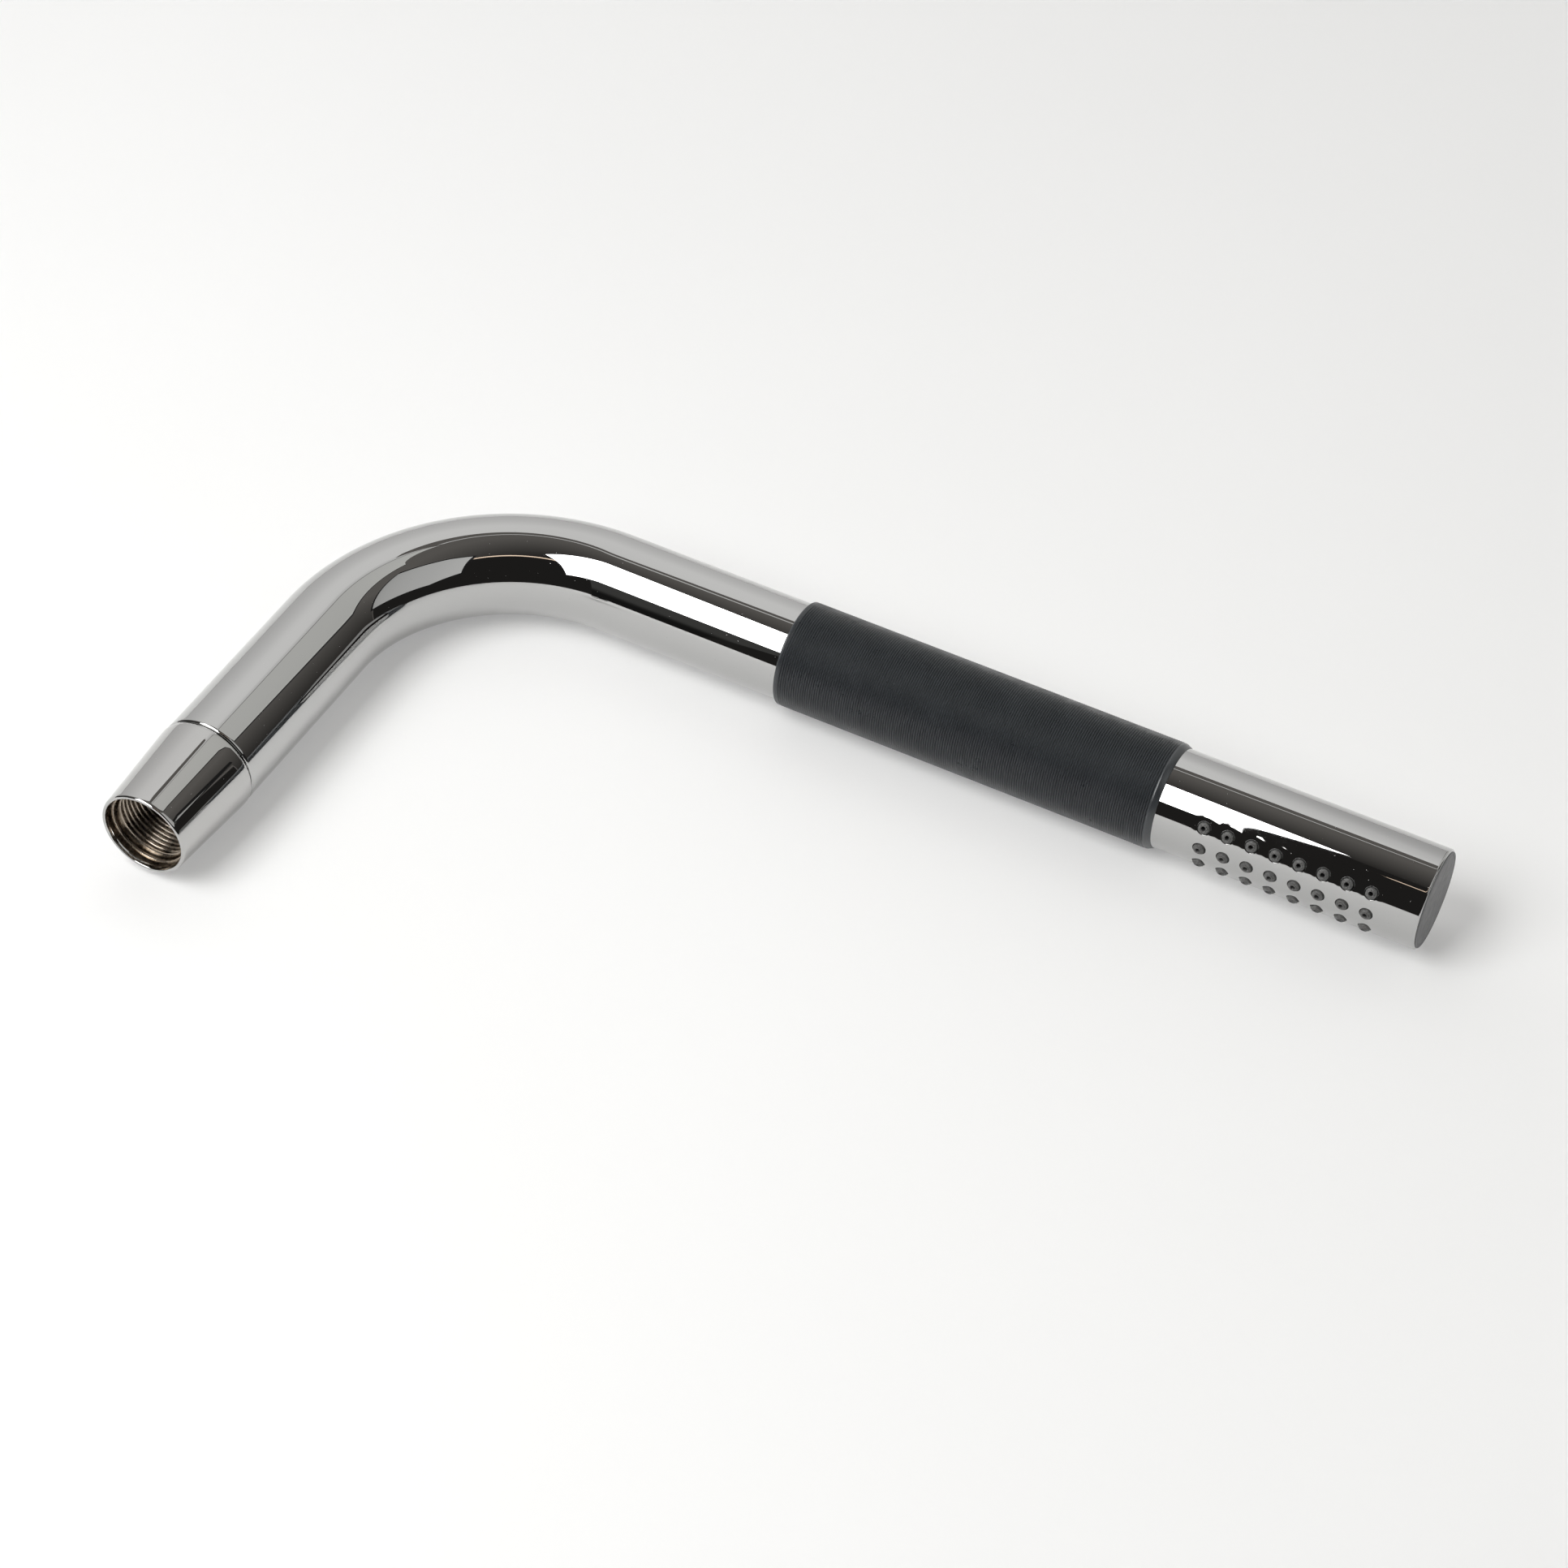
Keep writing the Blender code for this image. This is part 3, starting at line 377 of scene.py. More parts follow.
def make_tube(material):
    """Outer skin, rounded ends, bore and the wall of each nozzle hole, as one closed surface.

    Round each nozzle a square cell of the skin is filled with rings that turn from the cell's
    outline into the hole's circle, so that the chrome stays smooth there.
    """
    side = 12  # faces along one side of a cell
    turn_step = ROW_ANGLE / side
    steps = round(math.tau / turn_step)
    angles = np.arange(steps) * turn_step - 1.5 * ROW_ANGLE
    patch = 3 * side  # faces round the leg that belong to the cells
    zone_start = NOZZLE_FIRST - NOZZLE_PITCH / 2
    zone_rows = NOZZLE_COUNT * side

    vertices, faces, keys = [], [], {}

    def add(points):
        first = len(vertices)
        vertices.extend(points)
        return list(range(first, first + len(points)))

    def band(first_ring, second_ring, flip):
        for i in range(len(first_ring)):
            j = (i + 1) % len(first_ring)
            quad = (first_ring[i], first_ring[j], second_ring[j], second_ring[i])
            faces.append(quad[::-1] if flip else quad)

    def skin(radius, flip, rounded):
        """One wall of the tube, from leg 1's end to leg 2's. Returns its end rings and hole rings."""
        rings = []
        start_ring = TUBE_START - (INLET_ROUNDING if rounded else 0)
        for station in [start_ring, *np.linspace(start_ring - 0.0003, BEND_RADIUS, 16)]:
            ring_angles = math.pi - angles  # leg 1's rings, matched to leg 2's through the bend
            turned = leg_1_points(np.full(steps, station), np.full(steps, radius), ring_angles)
            turned[:, 0] = CORNER.x + radius * np.cos(angles)
            turned[:, 2] = CORNER.z + radius * np.sin(angles)
            rings.append(add(turned))
        for turn in np.linspace(0, math.pi / 2, 61)[1:]:
            rings.append(add(bent_ring(turn, radius, angles)))
        for station in np.linspace(BEND_RADIUS, zone_start - 0.004, 40)[1:]:
            rings.append(add(leg_2_points(np.full(steps, station), radius, angles)))
        lead_in = np.linspace(zone_start - 0.004, zone_start, 7)[1:-1]
        zone = zone_start + np.arange(zone_rows + 1) * NOZZLE_PITCH / side
        lead_out = np.linspace(zone[-1], zone[-1] + 0.004, 7)[1:]
        last = END_FACE - (END_ROUNDING if rounded else 0.0002)
        run_out = [*np.linspace(zone[-1] + 0.004, last - 0.0003, 4)[1:], last]
        for station in [*lead_in, *zone, *lead_out, *run_out]:
            place = np.full(steps, station)
            rings.append(add(leg_2_points(place, radius - dimples(place, angles), angles)))
            keys[(radius, round(station, 7))] = rings[-1]
        holes = []
        zone_rings = [keys[(radius, round(station, 7))] for station in zone]
        for first_ring, second_ring in zip(rings, rings[1:]):
            inside = first_ring in zone_rings and second_ring in zone_rings
            for i in range(patch if inside else 0, steps):
                j = (i + 1) % steps
                quad = (first_ring[i], first_ring[j], second_ring[j], second_ring[i])
                faces.append(quad[::-1] if flip else quad)
        for row in ROWS:
            for i in range(NOZZLE_COUNT):
                holes.append(cell(radius, flip, zone_rings, row, i, rounded))
        return rings[0], rings[-1], holes

    def cell(radius, flip, zone_rings, row, i, rounded):
        """Fills one nozzle's cell and returns the ring of its hole."""
        left, low = i * side, (row + 1) * side
        corners = [(left, low + k) for k in range(side)]
        corners += [(left + k, low + side) for k in range(side)]
        corners += [(left + side, low + side - k) for k in range(side)]
        corners += [(left + side - k, low) for k in range(side)]
        outline = [zone_rings[a][b % steps] for a, b in corners]
        middle = (NOZZLE_FIRST + i * NOZZLE_PITCH, row * ROW_ANGLE)
        edge = np.array([
            (zone_start + a * NOZZLE_PITCH / side - middle[0],
             (angles[0] + b * turn_step - middle[1]) * TUBE_RADIUS)
            for a, b in corners
        ])
        unit = edge / np.linalg.norm(edge, axis=1)[:, None]
        lip = 0.0002 if rounded else 0.0
        rings = [outline]
        shares = np.linspace(1, 0, 12)[1:] ** 1.35
        for share in shares:
            flat = unit * (HOLE_RADIUS + lip) * (1 - share) + edge * share
            rings.append(cell_ring(radius, middle, flat, 0.0))
        for turn in (np.radians((22, 45, 68, 90)) if rounded else ()):
            size = HOLE_RADIUS + lip * (1 - math.sin(turn))
            rings.append(cell_ring(radius, middle, unit * size, lip * (1 - math.cos(turn))))
        for first_ring, second_ring in zip(rings, rings[1:]):
            band(first_ring, second_ring, not flip)
        return rings[-1]

    def cell_ring(radius, middle, flat, sunk):
        stations = middle[0] + flat[:, 0]
        turns = middle[1] + flat[:, 1] / TUBE_RADIUS
        return add(leg_2_points(stations, radius - dimples(stations, turns) - sunk, turns))

    outer = skin(TUBE_RADIUS, False, True)
    inner = skin(TUBE_RADIUS - TUBE_WALL, True, False)
    for outer_hole, inner_hole in zip(outer[2], inner[2]):
        band(outer_hole, inner_hole, True)
    far = [outer[1]]
    for turn in np.radians(np.linspace(0, 90, 11)[1:]):
        radius = TUBE_RADIUS - END_ROUNDING * (1 - math.cos(turn))
        station = END_FACE - END_ROUNDING * (1 - math.sin(turn))
        far.append(add(leg_2_points(np.full(steps, station), radius, angles)))
    far.append(inner[1])
    for first_ring, second_ring in zip(far, far[1:]):
        band(first_ring, second_ring, False)
    near = [inner[0]]
    for turn in np.radians(np.linspace(90, 0, 9)[:-1]):
        radius = TUBE_RADIUS - INLET_ROUNDING * (1 - math.cos(turn))
        station = TUBE_START - INLET_ROUNDING * (1 - math.sin(turn))
        ring_points = leg_1_points(np.full(steps, station), np.full(steps, radius), angles)
        near.append(add(ring_points))
    near.append(outer[0])
    for first_ring, second_ring in zip(near, near[1:]):
        band(first_ring, second_ring, False)
    tube = add_object("chrome_tube", vertices, faces, material, 35)
    face_outwards(tube)
    return tube


# ---------------------------------------------------------------- grip, collar, nozzles, end


def make_grip(material):
    """Ribbed sleeve: a smooth band at each end and fine, round-topped ribs between them."""
    inner = TUBE_RADIUS - 0.0002
    foot = TUBE_RADIUS + 0.0001
    first = GRIP_START + GRIP_BAND
    last = GRIP_END - GRIP_TAPER
    groove = 0.00036
    rounding = 0.00045
    outline = [(inner, GRIP_START), (foot, GRIP_START)]
    outline += [
        (GRIP_RADIUS - rounding * (1 - math.sin(t)), GRIP_START + rounding * (1 - math.cos(t)))
        for t in np.radians(np.linspace(0, 90, 7))
    ]
    pitch = (last - first) / RIB_COUNT
    shares = np.linspace(0, 1, 9)[1:]
    for rib in range(RIB_COUNT):
        for share in shares:
            height = 1 - abs(math.cos(math.pi * share)) ** 2
            outline.append((GRIP_RADIUS - groove * (1 - height), first + (rib + share) * pitch))
    outline += [
        (GRIP_RADIUS - 0.00006, last + 0.0003),
        (GRIP_RADIUS - 0.00012, last + 0.0008),
        (foot + 0.0001, GRIP_END - 0.0001),
        (foot, GRIP_END),
        (inner, GRIP_END),
    ]
    return turned_piece("ribbed_grip", leg_2_points, outline, 112, material, sharp=60)


def make_collar(material, inside):
    """Tapered collar with a rounded rear lip, a thin rounded mouth and a right-hand female thread."""
    skirt_bore = 0.0127
    rear_rounding = 0.0009
    rear_length = 0.0013
    web_bore = 0.0094
    web = COLLAR_START + 0.0020
    web_end = COLLAR_START + 0.0045
    taper_start = COLLAR_START + 0.0022
    mouth_slope = 0.01262
    mouth_outer = 0.01215
    mouth_rounding = 0.0011
    lip = 0.00030
    lip_middle = 0.01186
    slope_end = MOUTH - mouth_rounding
    recess = RECESS_RADIUS
    ledge = MOUTH - LEDGE_DEPTH
    recess_end = MOUTH - 0.0042
    relief = 0.0010
    thread_end = recess_end - relief
    thread_start = thread_end - 0.0160
    outline = [(skirt_bore, COLLAR_START), (COLLAR_RADIUS - rear_rounding, COLLAR_START)]
    outline += [
        (
            COLLAR_RADIUS - rear_rounding * (1 - math.sin(t)),
            COLLAR_START + rear_length * (1 - math.cos(t)),
        )
        for t in np.radians(np.linspace(0, 90, 13)[1:])
    ]
    tapered = np.linspace(0, 1, 14)
    outline += [
        (COLLAR_RADIUS + (mouth_slope - COLLAR_RADIUS) * s, taper_start + (slope_end - taper_start) * s)
        for s in tapered
    ]
    rounding = np.radians(np.linspace(0, 90, 9)[1:])
    outline += [
        (
            mouth_outer + (mouth_slope - mouth_outer) * math.cos(t),
            slope_end + mouth_rounding * math.sin(t),
        )
        for t in rounding
    ]
    outline += [
        (lip_middle + lip * math.cos(t), MOUTH - lip + lip * math.sin(t))
        for t in np.radians(np.linspace(90, 180, 7)[1:])
    ]
    outline += [(recess + 0.00012, MOUTH - 0.0010), (recess, MOUTH - 0.0013), (recess, ledge)]
    corner = 0.00018
    outline += [
        (LEDGE_RADIUS + corner * (1 - math.cos(t)), ledge - corner * (1 - math.sin(t)))
        for t in np.radians(np.linspace(90, 0, 7))
    ]
    outline += [(LEDGE_RADIUS, ledge - 0.0007), (recess - 0.0001, ledge - 0.0010)]
    outline += [(recess - 0.0001, recess_end - 0.0001), (THREAD_MINOR_RADIUS + 0.00035, thread_end)]
    count = round((thread_end - thread_start) / THREAD_PITCH * 14)
    outline += [
        (THREAD_MINOR_RADIUS, station)
        for station in np.linspace(thread_end - 0.0001, thread_start + 0.0001, count)
    ]
    outline += [
        (recess, thread_start - relief),
        (recess, web_end),
        (web_bore, web_end),
        (web_bore, web),
        (skirt_bore, web),
    ]

    def thread(stations, radii, turns):
        """Cuts a 60-degree groove that climbs one pitch in a turn, and fades it at both ends."""
        phase = np.mod(stations / THREAD_PITCH - turns / math.tau, 1.0)
        flank = np.clip((0.5 - np.abs(phase - 0.5)) / 0.5, 0, 1)
        cut = np.clip((flank - 0.10) / 0.72, 0, 1)
        cut = cut * cut * (3 - 2 * cut) * 0.35 + cut * 0.65
        inside = (stations < thread_end) & (stations > thread_start) & (radii < 0.0103)
        entry = np.clip((thread_end - stations) / 0.0006, 0, 1)
        leave = np.clip((stations - thread_start) / 0.0015, 0, 1)
        return np.where(inside, THREAD_DEPTH * cut * np.minimum(entry, leave), 0)

    collar = turned_piece("threaded_collar", leg_1_points, outline, 160, material, thread, sharp=50)
    collar.data.materials.append(inside)
    for face in collar.data.polygons:
        middle = face.center
        radius = math.hypot(middle.x - CORNER.x, middle.z - CORNER.z)
        if radius < recess + 0.0001 and CORNER.y - middle.y > web - 0.0001:
            face.material_index = 1
    return collar


def make_nozzles(material):
    """The mat inside the tube and its nozzles, each a soft dome with a stepped tip and an orifice."""
    steps = 40
    foot = -0.0016
    wall = 0.00160
    dome = 0.00050
    step = wall - dome
    tip = 0.00094
    tip_rounding = 0.0001
    profile = [(wall, foot), (wall, 0.0)]
    profile += [
        (step + dome * math.cos(t), 0.9 * dome * math.sin(t))
        for t in np.radians(np.linspace(0, 75, 9)[1:])
    ]
    profile += [(step, 0.00047), (step - 0.00006, 0.00050)]
    profile += [
        (tip + tip_rounding * math.cos(t), 0.00060 + tip_rounding * math.sin(t))
        for t in np.radians((0, 45, 90))
    ]
    profile += [(0.00074, 0.00069), (0.00064, 0.00062), (0.00060, 0.00045), (0.00058, foot)]
    turns = np.linspace(0, math.tau, steps, endpoint=False)
    vertices, faces = [], []
    for row in ROWS:
        outward = Vector((0, -math.cos(row * ROW_ANGLE), math.sin(row * ROW_ANGLE)))
        sideways = Vector((1, 0, 0)).cross(outward)
        for i in range(NOZZLE_COUNT):
            station = NOZZLE_FIRST + i * NOZZLE_PITCH
            middle = CORNER + Vector((station, 0, 0)) + outward * TUBE_RADIUS
            first = len(vertices)
            for radius, height in profile:
                for turn in turns:
                    around = Vector((1, 0, 0)) * math.cos(turn) + sideways * math.sin(turn)
                    vertices.append(middle + around * radius + outward * height)
            faces += grid_faces(len(profile), steps, first, wrap_rows=True, flip=True)
    sheet_outer = TUBE_RADIUS - 0.0016
    sheet_inner = sheet_outer - 0.0006
    arc_steps = 24
    bend = np.linspace(-1.48, 1.48, arc_steps) * ROW_ANGLE
    ends = (NOZZLE_FIRST - MAT_MARGIN, NOZZLE_FIRST + (NOZZLE_COUNT - 1) * NOZZLE_PITCH + MAT_MARGIN)
    first = len(vertices)
    for station, radius in (
        (ends[0], sheet_outer), (ends[0], sheet_inner), (ends[1], sheet_inner), (ends[1], sheet_outer)
    ):
        vertices.extend(leg_2_points(np.full(arc_steps, station), radius, bend).tolist())
    faces += grid_faces(4, arc_steps, first, wrap_rows=True, wrap_columns=False)
    starts = [first + i * arc_steps for i in range(4)]
    faces += [tuple(starts[::-1]), tuple(start + arc_steps - 1 for start in starts)]
    obj = add_object("soft_nozzles", vertices, faces, material, 50)
    face_outwards(obj)
    return obj


def make_end_disc(material):
    """The cover disc over the tube's end, with a fine bevel and a shallow groove round it."""
    edge = TUBE_RADIUS - END_ROUNDING
    spigot = TUBE_RADIUS - TUBE_WALL - 0.0002
    bevel = 0.00012
    groove = edge - 0.0009
    outline = [(radius, LEG_2_END) for radius in np.linspace(CENTRE_HOLE, groove - 0.0003, 12)]
    outline += [(groove - 0.00012, LEG_2_END), (groove - 0.00004, LEG_2_END - 0.00010)]
    outline += [(groove + 0.00004, LEG_2_END - 0.00010), (groove + 0.00012, LEG_2_END)]
    outline += [(edge - bevel, LEG_2_END), (edge, LEG_2_END - bevel)]
    outline += [(edge, END_FACE + 0.00003), (spigot, END_FACE + 0.00003)]
    outline += [(spigot, LEG_2_END - 0.0014), (CENTRE_HOLE, LEG_2_END - 0.0014)]
    obj = turned_piece("end_disc", leg_2_points, outline, 144, material, sharp=30)
    fill_centre(obj)
    return obj


def fill_centre(obj):
    """Closes the small hole that a turned outline leaves on its axis, at both faces."""
    bm = bmesh.new()
    bm.from_mesh(obj.data)
    near = [
        v for v in bm.verts if math.hypot(v.co.y - CORNER.y, v.co.z - CORNER.z) < 1.1 * CENTRE_HOLE
    ]
    high = max(v.co.x for v in near)
    low = min(v.co.x for v in near)
    beside_hole = set(near)
    inner_faces = [f for f in bm.faces if all(v in beside_hole for v in f.verts)]
    bmesh.ops.delete(bm, geom=inner_faces, context="FACES_ONLY")
    for level in (low, high):
        loop = [v for v in near if v.is_valid and abs(v.co.x - level) < 0.00001]
        bmesh.ops.contextual_create(bm, geom=loop)
    bmesh.ops.recalc_face_normals(bm, faces=bm.faces)
    bm.to_mesh(obj.data)
    bm.free()


# ---------------------------------------------------------------- studio


def direction(azimuth, elevation):
    """Unit vector: azimuth 0 is +Y and 90 is +X, elevation is above the floor."""
    a, e = math.radians(azimuth), math.radians(elevation)
    return Vector((math.sin(a) * math.cos(e), math.cos(a) * math.cos(e), math.sin(e)))


def glow(name, colour, strength):
    """A surface that only shines, by the card's own brightness at each point."""
    material = bpy.data.materials.new(name)
    material.use_nodes = True
    tree = material.node_tree
    tree.nodes.clear()
    emission = tree.nodes.new("ShaderNodeEmission")
    emission.inputs["Color"].default_value = (*colour, 1)
    level = tree.nodes.new("ShaderNodeAttribute")
    level.attribute_name = "level"
    scaled = tree.nodes.new("ShaderNodeMath")
    scaled.operation = "MULTIPLY"
    scaled.inputs[1].default_value = strength
    out = tree.nodes.new("ShaderNodeOutputMaterial")
    tree.links.new(level.outputs["Fac"], scaled.inputs[0])
    tree.links.new(scaled.outputs["Value"], emission.inputs["Strength"])
    tree.links.new(emission.outputs["Emission"], out.inputs["Surface"])
    return material


def card(name, columns, distance, colour, strength, level=lambda across, up: 1.0):
    """A curved sheet of light that only reflections see.

    Each column is (azimuth, low elevation, high elevation) in degrees, and the sheet is divided
    between columns. Level gives its brightness from 0 to 1 across it and up it.
    """
    wide, tall = 24, 12
    vertices, levels = [], []
    for up in np.linspace(0, 1, tall + 1):
        for across in np.linspace(0, 1, wide + 1):
            place = across * (len(columns) - 1)
            i = min(int(place), len(columns) - 2)
            azimuth, bottom, top = (
                a + (b - a) * (place - i) for a, b in zip(columns[i], columns[i + 1])
            )
            low, high = (math.tan(math.radians(e)) for e in (bottom, top))
            height = Vector((0, 0, low + (high - low) * up))
            vertices.append(STUDIO_MIDDLE + distance * (direction(azimuth, 0) + height))
            levels.append(level(across, up))
    faces = grid_faces(tall + 1, wide + 1, wrap_columns=False)
    hide_from_camera(name, vertices, faces, levels, glow(name + "_glow", colour, strength))


def hide_from_camera(name, vertices, faces, levels, material):
    sheet = add_object(name, vertices, faces, material)
    attribute = sheet.data.attributes.new("level", "FLOAT", "POINT")
    attribute.data.foreach_set("value", levels)
    sheet.visible_camera = False


def make_softbox():
    """The main light: a sheet to the front left, seen at a slant, which gives the long white streak."""
    aim = direction(-155, 47)
    across = Vector((0, 0, 1)).cross(aim).normalized()
    up = aim.cross(across)
    centre = STUDIO_MIDDLE + 1.25 * aim
    corners = ((-0.62, 0.64), (0.245, 0.505), (0.334, 0.10), (0.458, -0.345), (-0.33, -0.345))
    vertices = [centre + across * a + up * b for a, b in corners]
    hide_from_camera(
        "softbox", vertices, [(0, 1, 2, 3, 4)], [1.0] * 5, glow("softbox_glow", (1, 1, 1), 6.6)
    )


def make_studio():
    floor_material = Nodes("pale_floor")
    floor_material.colour(
        floor_material.blend(floor_material.noise(6, 3), (0.72, 0.72, 0.715), (0.75, 0.75, 0.745))
    )
    floor_material.settings(
        Roughness=0.9, Specular_IOR_Level=0.1, Emission_Color=(1, 1, 1, 1), Emission_Strength=0.24
    )
    reach = 6.0
    floor = add_object(
        "floor",
        [(-reach, -reach, 0), (reach, -reach, 0), (reach, reach, 0), (-reach, reach, 0)],
        [(0, 1, 2, 3)],
        floor_material.material,
    )
    make_softbox()

    def left_level(across, up):
        """Brightest half way along and half way up, and dimmer towards the floor."""
        return (0.74 + 0.26 * math.exp(-((across - 0.42) / 0.35) ** 2)) * (0.70 + 0.30 * min(1, 2.2 * up))

    def right_level(across, up):
        """A little brighter upwards, with a bright right edge."""
        return 0.76 + 0.18 * up + (0.10 if across > 0.96 else 0)

    card(
        "left_backdrop",
        [(-80, -0.5, 60), (-52, -0.5, 63.5), (-14, -0.5, 59.5), (-8, -0.5, 61), (-3.6, -0.5, 69)],
        4.2, (1, 0.995, 0.985), 1.02, left_level,
    )
    card(
        "backdrop_rail", [(-80, 64.6, 66), (-52, 66.3, 67.7), (-12, 67.8, 69), (-7, 68, 69.2)],
        4.2, (1, 1, 0.98), 0.78,
    )
    card("right_backdrop", [(-2.4, -0.5, 70), (42, -0.5, 66)], 4.2, (1, 1, 0.965), 0.86, right_level)
    card("backdrop_edge", [(42, -0.5, 66), (43.6, -0.5, 66)], 4.15, (1, 1, 1), 0.045)
    card(
        "corner_screen", [(43.6, -0.5, 42), (60.5, -0.5, 42)],
        3.4, (1, 0.94, 0.88), 0.165, lambda across, up: 0.22 + 0.78 * up,
    )
    card(
        "side_panel", [(60.5, 22, 57), (100, 20, 62), (119, 30, 62)],
        3.0, (1, 1, 0.985), 0.80, lambda across, up: 0.68 + 0.30 * across ** 0.5,
    )
    card("side_panel_edge", [(59, 20, 58.5), (100, 18.5, 63.5), (121, 28, 63.5)], 3.1, (1, 1, 1), 0.02)
    card(
        "dark_screen",
        [(61, -0.5, 22), (110, -0.5, 48), (125, -0.5, 57), (150, -0.5, 58), (180, -0.5, 62), (198, -0.5, 62)],
        3.3, (1, 0.95, 0.9), 0.022,
    )

    def front_level(across, up):
        """Black at the floor, dim half way up, and paler towards its left end."""
        rise = min(1.0, max(0.0, (up - 0.26) / 0.22))
        rise = rise * rise * (3 - 2 * rise)
        side = min(1.0, max(0.0, (across - 0.62) / 0.38))
        return (0.19 + 0.81 * rise) * (1 - side) + 1.5 * side * side

    card(
        "front_screen", [(198, -0.5, 34), (240, -0.5, 34), (279, -0.5, 34)],
        3.3, (1, 0.99, 0.95), 0.072, front_level,
    )
    slope = math.tan(math.radians(60.3))
    middles = [
        (a, math.degrees(math.atan(slope * math.cos(math.radians(a - 150)))))
        for a in np.linspace(122, 189.3, 12)
    ]
    card(
        "thin_light", [(a, e - 1.1, e + 0.9 - (a > 180) * 0.9) for a, e in middles],
        2.6, (1, 0.78, 0.60), 1.8,
    )
    make_world()


def make_world():
    """A dim, warm grey room, darker towards the front. Where the camera sees past the floor it is pale."""
    world = bpy.data.worlds.new("studio_room")
    bpy.context.scene.world = world
    world.use_nodes = True
    tree = world.node_tree
    tree.nodes.clear()
    where = tree.nodes.new("ShaderNodeTexCoord")
    parts = tree.nodes.new("ShaderNodeSeparateXYZ")
    level = tree.nodes.new("ShaderNodeMapRange")
    for socket, number in (("From Min", -0.5), ("From Max", 0.2), ("To Min", 0.03), ("To Max", 0.17)):
        level.inputs[socket].default_value = number
    room = tree.nodes.new("ShaderNodeBackground")
    room.inputs["Color"].default_value = (1.0, 0.94, 0.88, 1)
    pale = tree.nodes.new("ShaderNodeBackground")
    pale.inputs["Color"].default_value = (1, 1, 1, 1)
    pale.inputs["Strength"].default_value = 0.95
    path = tree.nodes.new("ShaderNodeLightPath")
    mix = tree.nodes.new("ShaderNodeMixShader")
    out = tree.nodes.new("ShaderNodeOutputWorld")
    tree.links.new(where.outputs["Generated"], parts.inputs["Vector"])
    tree.links.new(parts.outputs["Y"], level.inputs["Value"])
    tree.links.new(level.outputs["Result"], room.inputs["Strength"])
    tree.links.new(path.outputs["Is Camera Ray"], mix.inputs["Fac"])
    tree.links.new(room.outputs["Background"], mix.inputs[1])
    tree.links.new(pale.outputs["Background"], mix.inputs[2])
    tree.links.new(mix.outputs["Shader"], out.inputs["Surface"])


def make_camera():
    """Above and to the front left of the object, at 44 degrees, with a long lens and a slight roll."""
    azimuth, elevation, roll = (math.radians(angle) for angle in (24.529, 44.416, 4.001))
    distance = 1.0843
    target = CORNER + Vector((0.13459, -0.04713, 0))
    back = Vector(
        (
            math.sin(azimuth) * math.cos(elevation),
            -math.cos(azimuth) * math.cos(elevation),
            math.sin(elevation),
        )
    )
    level = Vector((math.cos(azimuth), math.sin(azimuth), 0))
    right = math.cos(roll) * level + math.sin(roll) * back.cross(level)
    up = back.cross(right)
    camera = bpy.data.cameras.new("camera")
    camera.sensor_width = 36
    camera.lens = 94.33
    camera.clip_start = 0.05
    camera.clip_end = 20
    camera_object = bpy.data.objects.new("camera", camera)
    bpy.context.scene.collection.objects.link(camera_object)
    turn = Matrix((right, up, back)).transposed()
    camera_object.matrix_world = Matrix.Translation(target + back * distance) @ turn.to_4x4()
    bpy.context.scene.camera = camera_object


# ---------------------------------------------------------------- the object


def finish_cad_nodes(slots):
    """Gives each CAD node that still shows the procedural material of its slot."""
    for part in frame["record"]["subparts"]:
        node = frame["nodes"][part["node"]]
        node.data.materials.clear()
        node.data.materials.append(slots[part["material_slot"]])


bpy.context.scene.view_settings.view_transform = "Standard"
make_camera()
make_studio()

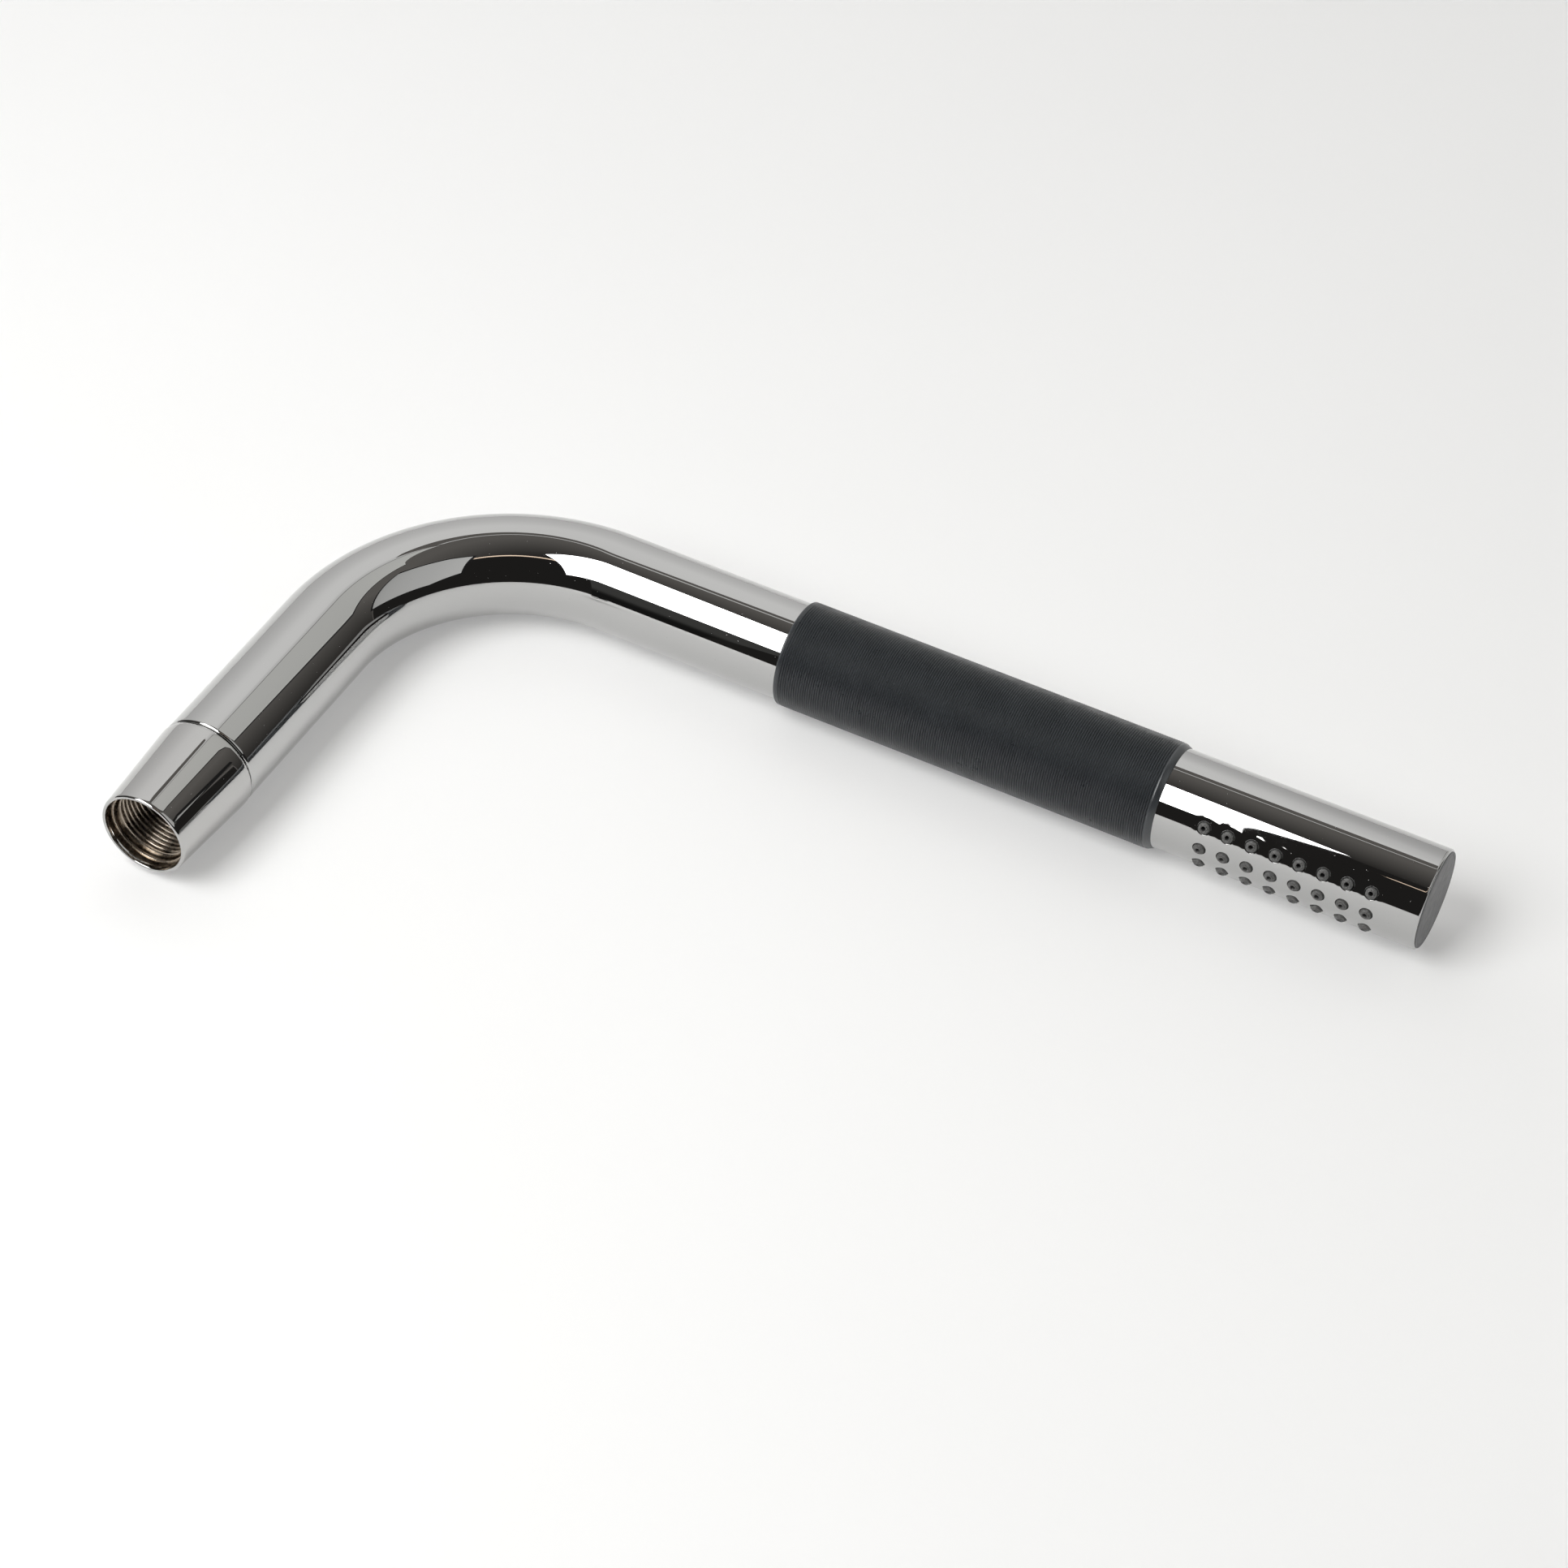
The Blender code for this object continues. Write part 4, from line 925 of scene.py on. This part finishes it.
CHROME = chrome_material("chrome", (0.51, 0.51, 0.505), 0.015, 0.035)
COLLAR_CHROME = chrome_material("collar_chrome", (0.51, 0.507, 0.50), 0.015, 0.04)
# Brass inside the collar, with painted shade in the bore and the thread's hollows and a painted highlight on
# the crests and ledge band.
COLLAR_INSIDE = brass_bore_with_painted_light("collar_inside")
GRIP = rubber_material(
    "grip_rubber", (0.024, 0.028, 0.032), (0.034, 0.039, 0.044), 1500, 0.000012, 0.34, gloss=0.85
)
NOZZLE = rubber_material(
    "nozzle_silicone", (0.052, 0.052, 0.05), (0.165, 0.165, 0.16), 2600, 0.00006, 0.5, 2600
)
END_GREY = plastic_material("end_cap_grey", (0.155, 0.156, 0.16), (0.175, 0.176, 0.18), 1600, 0.5, 0.000004)
SLOTS = {
    "chrome": CHROME,
    "grip_rubber": GRIP,
    "nozzle_silicone": NOZZLE,
    "end_cap_grey": END_GREY,
    "brass": machined_metal("brass", (0.42, 0.30, 0.14), (0.66, 0.50, 0.27), (0, 1, 0), 0.28),
    "stainless_steel": machined_metal(
        "stainless_steel", (0.42, 0.42, 0.41), (0.58, 0.58, 0.57), (0, 1, 0), 0.26
    ),
    "black_rubber": rubber_material(
        "black_rubber", (0.015, 0.015, 0.015), (0.028, 0.028, 0.028), 1500, 0.00002
    ),
    "white_plastic": plastic_material("white_plastic", (0.66, 0.65, 0.62), (0.74, 0.73, 0.70), 1200, 0.42),
    "grey_plastic": plastic_material("grey_plastic", (0.21, 0.21, 0.22), (0.26, 0.26, 0.27), 1200, 0.45),
}
finish_cad_nodes(SLOTS)

tube = make_tube(CHROME)
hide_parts("outer_tube")
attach(tube, "handset")

grip = make_grip(GRIP)
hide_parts("grip_sleeve")
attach(grip, "handset")

collar = make_collar(COLLAR_CHROME, COLLAR_INSIDE)
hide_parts("inlet_collar")
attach(collar, "collar")

nozzles = make_nozzles(NOZZLE)
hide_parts("nozzle_mat")
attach(nozzles, "handset")

disc = make_end_disc(END_GREY)
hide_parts("end_cap")
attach(disc, "handset")
